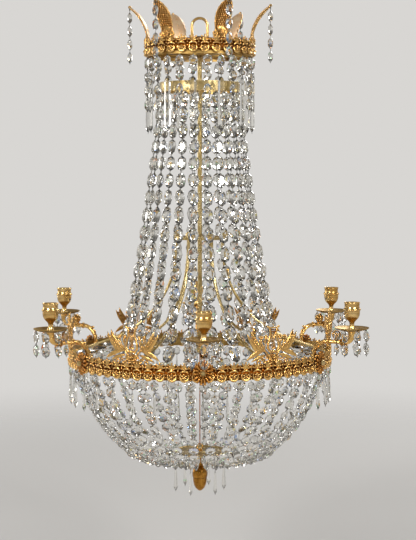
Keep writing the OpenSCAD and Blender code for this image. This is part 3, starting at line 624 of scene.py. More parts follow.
def new_tree(name: str) -> tuple[Material, NodeTree, NodeSocket]:
    """Start a material.

    Args:
        name: Its name.

    Returns:
        The material, its empty tree and the socket for its surface.
    """
    material = bpy.data.materials.new(name)
    material.use_nodes = True
    tree = material.node_tree
    tree.nodes.clear()
    output = add_node(tree, "OutputMaterial")
    return material, tree, output.inputs["Surface"]


@dataclass(frozen=True)
class Metal:
    """A polished or cast metal, with a patina and a fine grain, and painted shade in its hollows where
    it is carved.

    Attributes:
        name: The material's name.
        bright: Its burnished colour.
        dark: The colour of its patina, and where it is carved, of the shade painted into its recesses.
        smooth: Roughness where it is burnished.
        rough: Roughness where it is dull.
        patch_mm: Width of a patch of patina.
        grain_mm: Width of its grain.
        grain: Strength of the grain.
        carved: Whether the mesh says where its recesses are.
        stretch: How much longer the grain is round the axis than across.
    """

    name: str
    bright: str
    dark: str
    smooth: float
    rough: float
    patch_mm: float
    grain_mm: float
    # carved: Whether the mesh's relief attribute paints shade into its recesses.
    grain: float
    carved: bool = False
    stretch: float = 1.0

    def build(self) -> Material:
        """Make the material.

        Returns:
            The new material.
        """
        material, tree, surface = new_tree(self.name)
        place = add_node(tree, "TexCoord").outputs["Object"]
        patch = add_node(tree, "TexNoise", {
            "Vector": place, "Scale": 1.0 / (self.patch_mm * MM), "Detail": 3.0,
            "Roughness": 0.6}).outputs["Fac"]
        squeezed = add_node(tree, "VectorMath", {0: place, 1: (1.0, 1.0, self.stretch)},
                            operation="MULTIPLY").outputs["Vector"]
        grain = add_node(tree, "TexNoise", {
            "Vector": squeezed, "Scale": 1.0 / (self.grain_mm * MM), "Detail": 2.0}).outputs["Fac"]
        wear_and_shade = add_node(tree, "MapRange", {
            "Value": patch, "From Min": 0.35, "From Max": 0.65, "To Min": 0.0, "To Max": 1.0})
        polish_and_shade = wear_and_shade.outputs["Result"]
        # A carved metal takes painted shade from the relief attribute: the lower it is, the nearer the
        # colour comes to the dark one
        if self.carved:
            relief = add_node(tree, "Attribute", attribute_name="relief").outputs["Fac"]
            softened = add_node(tree, "Math", {0: polish_and_shade, 1: 0.35, 2: 0.65},
                                operation="MULTIPLY_ADD").outputs["Value"]
            polish_and_shade = add_node(tree, "Math", {0: relief, 1: softened},
                              operation="MULTIPLY").outputs["Value"]
        colour = add_node(tree, "Mix", {
            "Factor": polish_and_shade, "A": linear(self.dark), "B": linear(self.bright)},
            data_type="RGBA").outputs["Result"]
        rough = add_node(tree, "MapRange", {
            "Value": polish_and_shade, "To Min": self.rough, "To Max": self.smooth}).outputs["Result"]
        bump = add_node(tree, "Bump", {
            "Height": grain, "Strength": self.grain, "Distance": self.grain_mm * MM}).outputs["Normal"]
        shader = add_node(tree, "BsdfPrincipled", {
            "Base Color": colour, "Metallic": 1.0, "Roughness": rough, "Normal": bump})
        tree.links.new(shader.outputs["BSDF"], surface)
        return material


@dataclass(frozen=True)
class LeadCrystal:
    """Cut lead crystal: colourless glass, with a few facets tinted as painted coloured sparks."""

    name: str = "Lead_crystal"
    tint: str = "FBFAF6"
    ior: float = 1.6
    roughness: float = 0.0

    def build(self) -> Material:
        """Make the material.

        Returns:
            The new material.
        """
        material, tree, surface = new_tree(self.name)
        # Painted sparks: the spark attribute tints a few facets with colour
        spark = add_node(tree, "Attribute", attribute_name="spark").outputs["Color"]
        colour = add_node(tree, "Mix", {"Factor": 1.0, "A": linear(self.tint), "B": spark},
                          data_type="RGBA", blend_type="MULTIPLY").outputs["Result"]
        shader = add_node(tree, "BsdfPrincipled", {
            "Base Color": colour, "Roughness": self.roughness, "IOR": self.ior,
            "Transmission Weight": 1.0})
        tree.links.new(shader.outputs["BSDF"], surface)
        return material


class Finishes:
    """Every finish on the chandelier."""

    def __init__(self) -> None:
        """Make the materials."""
        # Ormolu: cast brass, chased and fire-gilt. Burnished tops are warm and bright, and the
        # hollows between them are painted dark brown as shade
        self.ormolu = Metal("Ormolu", "FFCF7E", "6E380A", 0.17, 0.4, 14.0, 0.9, 0.3,
                            carved=True).build()
        # The same where the gilding is rubbed through to a redder brass, with the same painted shade in
        # its hollows
        self.old_ormolu = Metal("Old_ormolu", "DD9C4E", "5E340E", 0.22, 0.45, 10.0, 0.9, 0.3,
                                carved=True).build()
        # Matt gilding on the backs of the plumes: pale, soft and a little pink
        self.matt_gilding = Metal("Matt_gilding", "FFE2BC", "E8C096", 0.4, 0.55, 20.0, 1.2, 0.2).build()
        # Spun and burnished gilt brass of the cups, with the grain of the lathe. The shackle and the
        # ring bolt are rubbed as bright
        self.spun_gilt = Metal("Spun_gilt_brass", "F6D392", "D2A45A", 0.16, 0.28, 30.0, 0.8, 0.06,
                               stretch=6.0).build()
        # Plain gilt brass of the hoops and pans, gone dull and olive
        self.dull_gilt = Metal("Dull_gilt_brass", "BC9A5A", "8C6C38", 0.42, 0.55, 24.0, 0.8,
                               0.12).build()
        # Gilt brass of the acorn, browned by handling
        self.browned_gilt = Metal("Browned_gilt_brass", "C08A3C", "8A5A1E", 0.2, 0.36, 10.0, 0.8,
                                  0.1).build()
        # Drawn brass of the tubes, stays, inner ring and bottom plate, dulled by age
        self.drawn_brass = Metal("Drawn_brass", "EAD29A", "B0955C", 0.2, 0.38, 24.0, 0.7, 0.12).build()
        # Drawn copper of the link below the stem
        self.copper = Metal("Copper_wire", "D98650", "8A4A26", 0.25, 0.4, 10.0, 0.6, 0.1).build()
        # Steel of the rod, pins, wires and screws, greyed by age
        self.steel = Metal("Steel_wire", "8C867C", "5A554E", 0.3, 0.5, 8.0, 0.6, 0.1).build()
        # Cut lead crystal: clear, with hard bright edges, and here and there a facet tinted with a
        # painted spark of colour
        self.crystal = LeadCrystal().build()


@dataclass
class Work:
    """One kind of work on the chandelier.

    Attributes:
        shop: Makes its pieces.
        finishes: The materials.
    """

    shop: Workshop
    finishes: Finishes

    def cast(self, name: str, shape: Shape, node: str, finish: Material | None = None) -> None:
        """Make a casting that stands for a CAD node.

        Args:
            name: The piece's name.
            shape: Its shape, in millimetres.
            node: The CAD node.
            finish: Its material, where it isn't ormolu.
        """
        self.shop.make(name, shape, finish or self.finishes.ormolu, Slot.ORMOLU, [node])


# Crystals


@dataclass(frozen=True)
class Seat:
    """Where one crystal hangs: its two tips, its wide and thick directions, and its sizes."""

    top: ndarray
    foot: ndarray
    wide: ndarray
    thick: ndarray
    width: float
    depth: float

    @property
    def length(self) -> float:
        """Give the distance between the tips."""
        return float(np.linalg.norm(self.top - self.foot))

    def turned(self, degrees: float) -> "Seat":
        """Give the seat turned round the stem."""
        turn = np.array(Matrix.Rotation(math.radians(degrees), 3, "Z"))
        return replace(self, top=turn @ self.top, foot=turn @ self.foot, wide=turn @ self.wide,
                       thick=turn @ self.thick)


# A crystal longer than this is a spear or a prism, which hangs straight down
LONG_CRYSTAL = 45.0
# How much of a bead's length counts as its tip
TIP_SHARE = 0.2


def solids(node: str) -> list[ndarray]:
    """Split a CAD node into its separate solids.

    Args:
        node: The node's name.

    Returns:
        The corner points of each solid, in millimetres.
    """
    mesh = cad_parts[node].data
    points = np.empty(len(mesh.vertices) * 3)
    mesh.vertices.foreach_get("co", points)
    points = points.reshape(-1, 3) / MM
    _, first, merged = np.unique(np.round(points, 2), axis=0, return_index=True, return_inverse=True)
    merged = merged.ravel()
    edges = np.empty(len(mesh.edges) * 2, np.int64)
    mesh.edges.foreach_get("vertices", edges)
    ends = merged[edges.reshape(-1, 2)]
    label = np.arange(len(first))
    while True:
        low = np.minimum(label[ends[:, 0]], label[ends[:, 1]])
        lower = label.copy()
        np.minimum.at(lower, ends[:, 0], low)
        np.minimum.at(lower, ends[:, 1], low)
        if (lower == label).all():
            break
        label = lower
    places = points[first]
    return [places[label == value] for value in np.unique(label)]


def seat_of(points: ndarray) -> Seat:
    """Work out how one crystal hangs.

    Args:
        points: The corners of its solid.

    Returns:
        Its seat.
    """
    middle = (points.min(axis=0) + points.max(axis=0)) / 2
    far = points[np.argmax(np.linalg.norm(points - middle, axis=1))]
    near = points[np.argmax(np.linalg.norm(points - far, axis=1))]
    length = np.linalg.norm(near - far)
    if length > LONG_CRYSTAL:
        top = np.array([middle[0], middle[1], points[:, 2].max()])
        foot = np.array([middle[0], middle[1], points[:, 2].min()])
        outward = middle * np.array([1.0, 1.0, 0.0])
        thick = outward / np.linalg.norm(outward)
        wide = np.cross((0.0, 0.0, 1.0), thick)
    else:
        reach = TIP_SHARE * length
        ends = [points[np.linalg.norm(points - end, axis=1) < reach] for end in (far, near)]
        tips = sorted((end.mean(axis=0) for end in ends), key=lambda tip: tip[2])
        foot, top = tips
        axis = (top - foot) / np.linalg.norm(top - foot)
        edge = ends[0] - ends[0].mean(axis=0)
        wide = edge[np.argmax(np.linalg.norm(edge, axis=1))]
        wide = wide - axis * np.dot(wide, axis)
        wide = wide / np.linalg.norm(wide)
        thick = np.cross(wide, axis)
    offset = points - (top + foot) / 2
    return Seat(top, foot, wide, thick, float(np.ptp(offset @ wide)), float(np.ptp(offset @ thick)))


class Cut(Enum):
    """How a crystal is cut."""

    OVAL = "oval"
    SPEAR = "spear"
    PRISM = "prism"


@lru_cache
def cut_crystal(cut: Cut) -> Shape:
    """Give a crystal of half sizes 1, thick along X, wide along Y and long along Z.

    Args:
        cut: How it is cut.

    Returns:
        The flat-sided crystal.
    """
    if cut is Cut.SPEAR:
        profile = [(0.0, -1.0), (0.5, -0.9), (1.0, -0.66), (0.92, -0.5), (0.5, 0.8), (0.3, 0.93),
                   (0.0, 1.0)]
        return revolve(profile, 6).flat()
    if cut is Cut.PRISM:
        section = np.array([[1.0, -0.4], [1.0, 0.4], [0.0, 1.0],
                            [-1.0, 0.4], [-1.0, -0.4], [0.0, -1.0]])
        rows = [(0.03, -1.0), (0.8, -0.87), (1.0, -0.76), (1.0, 0.8), (0.6, 0.94), (0.15, 1.0)]
        path = np.array([[0.0, 0.0, z] for _, z in rows])
        return sweep(path, section, np.array([r for r, _ in rows])).flat()
    sides = 8
    girdle_out, table_reach = 0.14, 0.54
    points = []
    for side in (1, -1):
        for reach, out, start in ((1.0, girdle_out, 0.0), (table_reach, 1.0, math.pi / sides)):
            angle = start + np.arange(sides) * 2 * math.pi / sides
            points.append(np.stack([np.full(sides, side * out), reach * np.sin(angle),
                                    reach * np.cos(angle)], axis=1))
        points.append(np.array([[side * 1.0, 0.0, 0.0]]))
    per_side = 2 * sides + 1
    k = np.arange(sides)
    after = (k + 1) % sides
    faces = []
    for girdle in (0, per_side):
        table = girdle + sides
        faces += [triangles(girdle + k, girdle + after, table + k),
                  triangles(table + k, table + after, girdle + after),
                  triangles(table + k, table + after, table + sides)]
    faces.append(np.stack([k, after, per_side + after, per_side + k], axis=1))
    return plain(np.concatenate(points), np.concatenate(faces), smooth=False)


@dataclass
class CrystalDressing(Work):
    """Cuts every crystal and pins the crystals together.

    Attributes:
        trim: How far a crystal's own tip lies inside its seat, which leaves room for the pin.
        fullness: How much wider a crystal is than its plain solid.
        prism_fullness: The same for the corona's long prisms.
        swing: Most degrees by which a bead is turned on its strand.
        spark_share: Share of the small facets that are tinted with a painted coloured spark.
        spark_area: Largest facet that is tinted so, in square millimetres.
        wire: Half thickness of the pins.
        sunk: How far a pin is let into its crystal.
        past: How far it goes past the seat's tip, to meet the next one.
        head_r: Radius of its head.
        spear_turn: Degrees by which the spears under the bottom plate hang off their places.
    """

    trim: float = 1.6
    fullness: float = 1.05
    prism_fullness: float = 1.25
    swing: float = 14.0
    spark_share: float = 0.05
    spark_area: float = 28.0
    wire: float = 0.45
    sunk: float = 0.8
    past: float = 0.3
    head_r: float = 0.8
    spear_turn: float = -8.0
    # Tints of the painted sparks
    spark_colours: tuple[str, ...] = ("7FA8FF", "FFC46A", "FF9A6A", "A8F0B0", "FFF08A", "B8C4FF")

    def place(self, seat: Seat, cut: Cut, twist: float) -> Shape:
        """Cut one crystal for its seat.

        Args:
            seat: Where it hangs.
            cut: How it is cut.
            twist: Degrees by which it is turned on its strand.

        Returns:
            The crystal.
        """
        axis = (seat.top - seat.foot) / seat.length
        turn = math.radians(twist)
        wide = seat.wide * math.cos(turn) + seat.thick * math.sin(turn)
        thick = seat.thick * math.cos(turn) - seat.wide * math.sin(turn)
        full = self.prism_fullness if cut is Cut.PRISM else self.fullness
        frame_of = np.array([thick * seat.depth / 2 * full, wide * seat.width / 2 * full,
                             axis * (seat.length / 2 - self.trim)])
        middle = (seat.top + seat.foot) / 2
        return cut_crystal(cut).mapped(lambda p: p @ frame_of + middle)

    def pins(self, seats: Sequence[Seat]) -> Shape:
        """Give the two pins at each crystal's tips, with the heads that hold them."""
        parts = []
        for seat in seats:
            axis = (seat.top - seat.foot) / seat.length
            for tip, out in ((seat.top, 1.0), (seat.foot, -1.0)):
                start = tip - axis * out * (self.trim + self.sunk)
                path = np.array([start, tip + axis * out * self.past])
                parts.append(sweep(path, THIN_ROUND, self.wire, face=tuple(seat.thick)))
                parts.append(ball(tip - axis * out * self.trim * 0.55, self.head_r, 6, 3))
        return joined(parts)

    def painted_sparks(self, shape: Shape, random: np.random.Generator) -> ndarray:
        """Pick a colour for each facet, white for nearly all of them; the few coloured ones are painted
        sparks.

        Args:
            shape: The crystals.
            random: The seeded source of chance.

        Returns:
            One colour for each facet.
        """
        corners = shape.points[np.where(shape.faces < 0, shape.faces[:, :1], shape.faces)]
        across = np.cross(corners[:, 2] - corners[:, 0], corners[:, 3] - corners[:, 1])
        small = np.linalg.norm(across, axis=1) / 2 < self.spark_area
        colours = np.ones((len(small), 4))
        lit = small & (random.random(len(small)) < self.spark_share)
        palette = np.array([linear(colour) for colour in self.spark_colours])
        colours[lit] = palette[random.integers(0, len(palette), int(lit.sum()))]
        return colours

    def dress(self, node: str, body: str, long_cut: Cut) -> list[Seat]:
        """Replace one CAD node's plain crystals with cut ones.

        Args:
            node: The CAD node.
            body: The body that it rides on.
            long_cut: How its long crystals are cut.

        Returns:
            Where its crystals hang.
        """
        random = np.random.default_rng(sum(map(ord, node)))
        seats = [seat_of(points) for points in solids(node)]
        if node == "bottom_spears":
            seats = [seat.turned(self.spear_turn) for seat in seats if self.is_hung(seat)]
        shape = joined(self.place(seat, long_cut, 0.0) if seat.length > LONG_CRYSTAL else
                       self.place(seat, Cut.OVAL, random.uniform(-self.swing, self.swing))
                       for seat in seats)
        colours = self.painted_sparks(shape, random)
        self.shop.make(f"{node.capitalize()}_cut", shape, self.finishes.crystal, Slot.CRYSTAL,
                       [node], body, colours)
        return seats

    @staticmethod
    def is_hung(seat: Seat) -> bool:
        """Tell whether a place under the bottom plate carries a spear: every second one does."""
        degrees = math.degrees(math.atan2(seat.top[1], seat.top[0]))
        first, step = 15.0, 30.0
        return round((degrees - first) / step) % 2 == 0

    def build(self) -> None:
        """Dress every crystal of the chandelier, group by group."""
        groups = [("Corona", ["corona_strings", "corona_prisms"], BODY),
                  ("Tent", [f"tent_strands_{k}" for k in (1, 2, 3)], BODY),
                  ("Basket", [f"basket_strands_{k}" for k in (1, 2, 3)], BODY),
                  ("Pan", ["pan_drops"], BODY),
                  ("Spear", ["ring_spears", "bottom_spears"], BODY)]
        groups += [(f"Plume_drop_{k}", [f"plume_drop_{k}"], f"drop_string_{k}")
                   for k in range(1, ARMS + 1)]
        for group, nodes, body in groups:
            long_cut = Cut.PRISM if group == "Corona" else Cut.SPEAR
            seats = [seat for node in nodes for seat in self.dress(node, body, long_cut)]
            self.shop.make(f"{group}_pins", self.pins(seats), self.finishes.steel, Slot.IRON,
                           body=body)


# Castings


@dataclass
class Gallery(Work):
    """A cast gallery: a row of flowers in rings, a line of beads, and a crest of palmettes.

    Attributes:
        name: What its pieces' names begin with, and its CAD nodes' names too.
        radius: Radius of its ground.
        low: Height of its lower edge.
        mid: Height of its line of beads.
        top: Height of its crest.
        count: How many flowers it has.
        turn: Degrees by which it is turned on the stem.
        plate: Thickness of the castings.
        crest_back: How far the crest's ground stands back from the gallery's.
        seam: How far the crest's ground reaches below its own foot.
        scallop: Height of the open edge below the ground, which the rings scallop.
        ring_share: A ring's radius, as a share of the gallery's height.
        centre_share: Height of its middle, as the same share.
        hood_gap: From a ring to the hood over it.
    """

    name: str
    radius: float
    low: float
    mid: float
    top: float
    count: int
    turn: float
    plate: float = 2.0
    crest_back: float = 0.7
    seam: float = 0.4
    scallop: float = 2.5
    ring_share: float = 0.39
    centre_share: float = 0.44
    hood_gap: float = 2.6

    @property
    def pitch(self) -> float:
        """Give the distance from flower to flower."""
        return 2 * math.pi * self.radius / self.count

    def flower_cell(self) -> Shape:
        """Give one flower in its ring, under a hood, with the balls beside it.

        Returns:
            The cell, with its lower edge at z = 0.
        """
        height = self.mid - self.low
        ring_r, centre = height * self.ring_share, height * self.centre_share
        # A ring that swells towards its foot, round a flower with a bright boss
        ring = swollen_arc(ring_r, (-215, 35), 25, out=1.2, thin=1.1, swell=2.0, power=1.5)
        parts = [ring.moved(z=centre), flower(ring_r * 0.8, 6, 3.0).moved(0.4, 0, centre - 0.6),
                 ball((3.4, 0, centre - 0.6), 2.3)]
        # A hood over the ring, with a dark gap between
        hood = swollen_arc(ring_r + self.hood_gap, (38, 142), 13, out=1.8, thin=0.9, swell=1.6)
        parts.append(hood.moved(z=centre))
        for z, size in ((height - 0.8, 1.6), (centre + 4.0, 1.5), (centre - 2.5, 1.2), (2.4, 1.1)):
            parts.append(ball((0.5, self.pitch / 2, z), size))
        return joined(parts)

    def crest_cell(self) -> Shape:
        """Give one palmette of the crest, with its foot at z = 0.

        Returns:
            The palmette and the bud beside it.
        """
        height = self.top - self.mid
        half = self.pitch / 2
        parts = [ball((0.4, 0, height * 0.14), (1.6, 2.4, 2.2))]
        for lean, share, width in ((0.0, 0.94, 2.3), (34.0, 0.88, 2.1), (66.0, 0.74, 1.8)):
            reach = height * share
            y = reach * math.sin(math.radians(lean))
            z = reach * math.cos(math.radians(lean)) + height * 0.05
            path = [(-0.2, 0, height * 0.12), (0.6, y * 0.4, z * 0.6), (2.0, y, z)]
            lobe = joined([leaf(path, width, 1.8, 6, blunt=0.6), ball((2.2, y, z), 2.0)])
            parts += [lobe, lobe.mirrored()] if lean else [lobe]
        stem = curve([(-0.4, half, 0), (0.0, half, height * 0.25), (0.4, half, height * 0.45)], 3)
        return joined(parts + [sweep(stem, ROUND, 1.1), ball((0.6, half, height * 0.52), 1.7)])

    def make_row(self, part: str, cell: Shape, foot_z: float, back: float,
                 ground: tuple[float, float]) -> None:
        """Paint shade into one cell's hollows as it stands between its neighbours, and make the row on
        its ground.

        Args:
            part: Whether it is the gallery or the crest.
            cell: The cell, with its foot at z = 0.
            foot_z: Height of its foot.
            back: How far its ground stands back.
            ground: Heights of the plain strip of casting behind it, which is painted in full shade.
        """
        wide, tall = self.pitch * 1.5, self.top - self.low
        corners = np.array([[-back, y, z] for y, z in ((-wide, -tall), (wide, -tall),
                                                       (wide, tall), (-wide, tall))])
        wall = plain(corners, np.array([[0, 1, 2, 3]]), relief=0.0)
        # Painted shade in the cell's hollows, from its neighbours and the ground beside it
        cell = wear_and_shade(cell, [cell.moved(y=self.pitch), cell.moved(y=-self.pitch), wall], reach=5.0)
        row = around(wrapped(cell.moved(z=foot_z), self.radius), self.count,
                     180.0 / self.count + self.turn)
        (low, high), inner, outer = ground, self.radius - self.plate, self.radius - back
        strip = revolve([(inner, low), (outer, low), (outer, high), (inner, high)],
                        self.count * 3, closed=True)
        # The strip behind the row takes relief 0: painted full shade
        self.cast(f"{self.name}_{part}_cast", joined([row, strip.raised(0.0)]),
                  f"{self.name.lower()}_{part}")

    def build(self) -> None:
        """Make the gallery and its crest."""
        seam_z = self.mid - self.seam
        self.make_row("gallery", self.flower_cell(), self.low, 0.0, (self.low + self.scallop, seam_z))
        self.make_row("crest", self.crest_cell(), self.mid, self.crest_back,
                      (seam_z, self.mid + 0.6 * (self.top - self.mid)))


@dataclass
class Plumes(Work):
    """Six palmette plumes that bend outward from the corona, and the scrolls that hold them.

    Attributes:
        foot_r: Radius of a plume's foot.
        foot_z: Height of its foot.
        straight: Length of its straight foot.
        bend_r: Radius of its bend.
        turn: Degrees that it bends through.
        width: Its widest width.
        thick: Thickness of its plate.
        dish: How far its edges stand forward of its middle where it is widest.
        scale: From scale to scale.
        scallops: How many waves run down its edge.
        foot_half: Half its width at the foot and the tip.
        front: How far its chased front stands forward of its middle surface, and its back behind.
    """

    foot_r: float = 108.7
    foot_z: float = -54.0
    straight: float = 9.0
    bend_r: float = 84.0
    turn: float = 60.0
    width: float = 37.0
    thick: float = 2.2
    dish: float = 2.2
    scale: float = 5.0
    scallops: int = 8
    foot_half: float = 3.0
    front: float = 0.6

    @property
    def tip(self) -> tuple[float, float]:
        """Give the radius and height of the eye at the tip."""
        turn = math.radians(self.turn)
        return (self.foot_r + self.bend_r * (1 - math.cos(turn)),
                self.foot_z + self.straight + self.bend_r * math.sin(turn))

    @property
    def length(self) -> float:
        """Give the plume's length along its bend."""
        return self.straight + self.bend_r * math.radians(self.turn)

    def frame_at(self, along: float) -> tuple[ndarray, ndarray]:
        """Give the middle of the plume and its outward direction, at a length along it."""
        turn = max(along - self.straight, 0.0) / self.bend_r
        middle = np.array([self.foot_r + self.bend_r * (1 - math.cos(turn)), 0.0,
                           self.foot_z + min(along, self.straight) + self.bend_r * math.sin(turn)])
        return middle, np.array([math.cos(turn), 0.0, -math.sin(turn)])

    def half_width(self, share: float) -> float:
        """Give half the plume's width at a share of its length."""
        body = math.sin(math.pi * share ** 1.15) ** 0.6 if 0 < share < 1 else 0.0
        return self.foot_half + (self.width / 2 - 4.6) * body

    def hollow(self, across: float, half: float) -> float:
        """Give how far the plate stands forward, at a share of its half width."""
        return self.dish * across ** 2 * half / (self.width / 2)

    def plate(self, offset: float, rows: int = 36, columns: int = 8) -> Shape:
        """Give the plume's plate, a little hollow towards its middle, with relief 0, which paints full
        shade on it where it is ormolu.

        Args:
            offset: How far it is moved outward from the plume's middle surface.
            rows: Rows of faces along it.
            columns: Columns of faces across it.

        Returns:
            A closed plate.
        """
        sheets = []
        for side in (self.thick / 4, -self.thick / 4):
            for i in range(rows + 1):
                share = i / rows
                middle, outward = self.frame_at(share * (self.length - 1.5))
                scallop = 1.0 + 0.07 * math.cos(2 * math.pi * self.scallops * share)
                half = self.half_width(share) * scallop
                for j in range(columns + 1):
                    across = 2.0 * j / columns - 1.0
                    forward = offset + side + self.hollow(across, half)
                    sheets.append(middle + outward * forward + np.array([0.0, half * across, 0.0]))
        grid = np.arange((rows + 1) * (columns + 1)).reshape(rows + 1, columns + 1)
        faces = []
        for sheet in (grid, grid + grid.size):
            faces.append(np.stack([sheet[:-1, :-1], sheet[1:, :-1], sheet[1:, 1:], sheet[:-1, 1:]],
                                  axis=-1).reshape(-1, 4))
        rim = np.concatenate([grid[:-1, 0], grid[-1, :-1], grid[:0:-1, -1], grid[0, :0:-1]])
        after = np.roll(rim, -1)
        faces.append(np.stack([rim, after, after + grid.size, rim + grid.size], axis=1))
        # Relief 0: on the chased front, the plate's ground is painted in full shade between the scales
        return plain(np.array(sheets), np.concatenate(faces), relief=0.0)

    def scales(self) -> Shape:
        """Give the chased scales on a plume's outward face, its rib and its beaded edge.

        Returns:
            The scales of one plume.
        """
        rows = int((self.length - 4.0) / (self.scale * 0.88))
        parts = []
        for i in range(rows):
            share = (i + 0.7) / rows
            middle, outward = self.frame_at(share * (self.length - 3.0))
            degrees = math.degrees(math.atan2(-outward[2], outward[0]))
            half = self.half_width(share)
            across = int(half / self.scale)
            stagger = 0.5 if i % 2 else 0.0
            places = [(j + stagger) * self.scale for j in range(-across, across + 1)]
            grains = [ball((0.9 + self.hollow(y / half, half), y, 0),
                           (2.2, 1.9, 2.1) if abs(y) > 1.0 else (2.8, 2.0, 2.3), 6, 4)
                      for y in places if abs(y) <= half - 0.6]
            grains += [ball((1.4 + self.hollow(s, half), s * half, 0), (1.5, 1.9, 2.3), 6, 4)
                       for s in (-1, 1)]
            parts += [grain.turned(degrees, "Y").moved(*middle) for grain in grains]
        tip = ball((0.5, 0, 0), (2.8, 3.0, 3.0)).turned(self.turn, "Y")
        middle, _ = self.frame_at(self.length)
        parts.append(tip.moved(*middle))
        return joined(parts)

    def socket(self) -> Shape:
        """Give the casting at a plume's foot: a ribbed fan over a flower between two scrolls.

        Returns:
            One socket, with its back at x = 0 and its foot at z = 0.
        """
        parts = [flower(7.0, 8, 3.4).moved(1.8, 0, 7.6), torus(8.0, 1.0, 20).moved(0.9, 0, 7.6)]
        for i in range(-3, 4):
            length = 15.5 - 0.6 * abs(i)
            rib = joined([leaf([(0.2, 0, 0), (2.6, 0, 8.0), (0.6, 0, length)], 2.0, 1.5, 7, blunt=0.5),
                          ball((0.8, 0, length), 1.5)])
            parts.append(rib.turned(16.0 * i, "X").moved(0.4, 0, 10.5))
        for s in (-1, 1):
            parts.append(spiral(6.4, 1.5, 1.9, s).moved(1.2, s * 14.8, 7.0))
            parts.append(leaf([(0.6, s * 3, 1.5), (1.6, s * 11, -1.5), (1.8, s * 19, 1.0)],
                              2.4, 1.2, 6))
            parts += [ball((1.6, s * 8.6, 14.6), 1.9), ball((1.2, s * 8.0, 2.0), 1.9)]
        # The ground behind the socket takes relief 0.1: painted shade
        parts.append(ball((0.0, 0, 7.0), (1.6, 17.0, 6.0), 12, 5).raised(0.1))
        return joined(parts)

    def hook(self) -> Shape:
        """Give the wire link from a plume's eye to its first crystal."""
        reach, height, wire = 3.4, 9.0, 0.8
        across, up = circle(16).T
        path = np.stack([np.zeros(16), reach * across, height / 2 * (up - 1.0) + wire], axis=1)
        radius, tip_z = self.tip
        return sweep(path, ROUND, wire, closed=True).moved(radius, 0, tip_z + 0.2)

    def build(self) -> None:
        """Make the plumes, their sockets and their hooks."""
        radius, tip_z = self.tip
        eye = torus(2.4, 0.9, 14).turned(90).moved(radius, 0, tip_z)
        # Painted shade in the hollows between the scales and round the eye
        front = wear_and_shade(joined([self.plate(self.front), self.scales(), eye]), reach=4.0, rays=16)
        turn = corona_turn()
        self.cast("Plumes_chased", around(front, ARMS, turn), "plumes")
        self.shop.make("Plume_backs", around(self.plate(-self.front), ARMS, turn),
                       self.finishes.matt_gilding, Slot.ORMOLU)
        foot_z = span("corona_crest").high - 2.8
        # Painted shade in the socket's hollows
        socket = wear_and_shade(self.socket()).moved(span("corona_hoop").radius - 2.0, 0, foot_z)
        self.cast("Plume_sockets_cast", around(socket, ARMS, turn), "plume_sockets")
        for k in range(1, ARMS + 1):
            self.shop.make(f"Plume_hook_{k}_wire", self.hook().turned(ARM_STEP * (k - 1) + turn),
                           self.finishes.steel, Slot.IRON, [f"plume_hook_{k}"], f"drop_string_{k}")


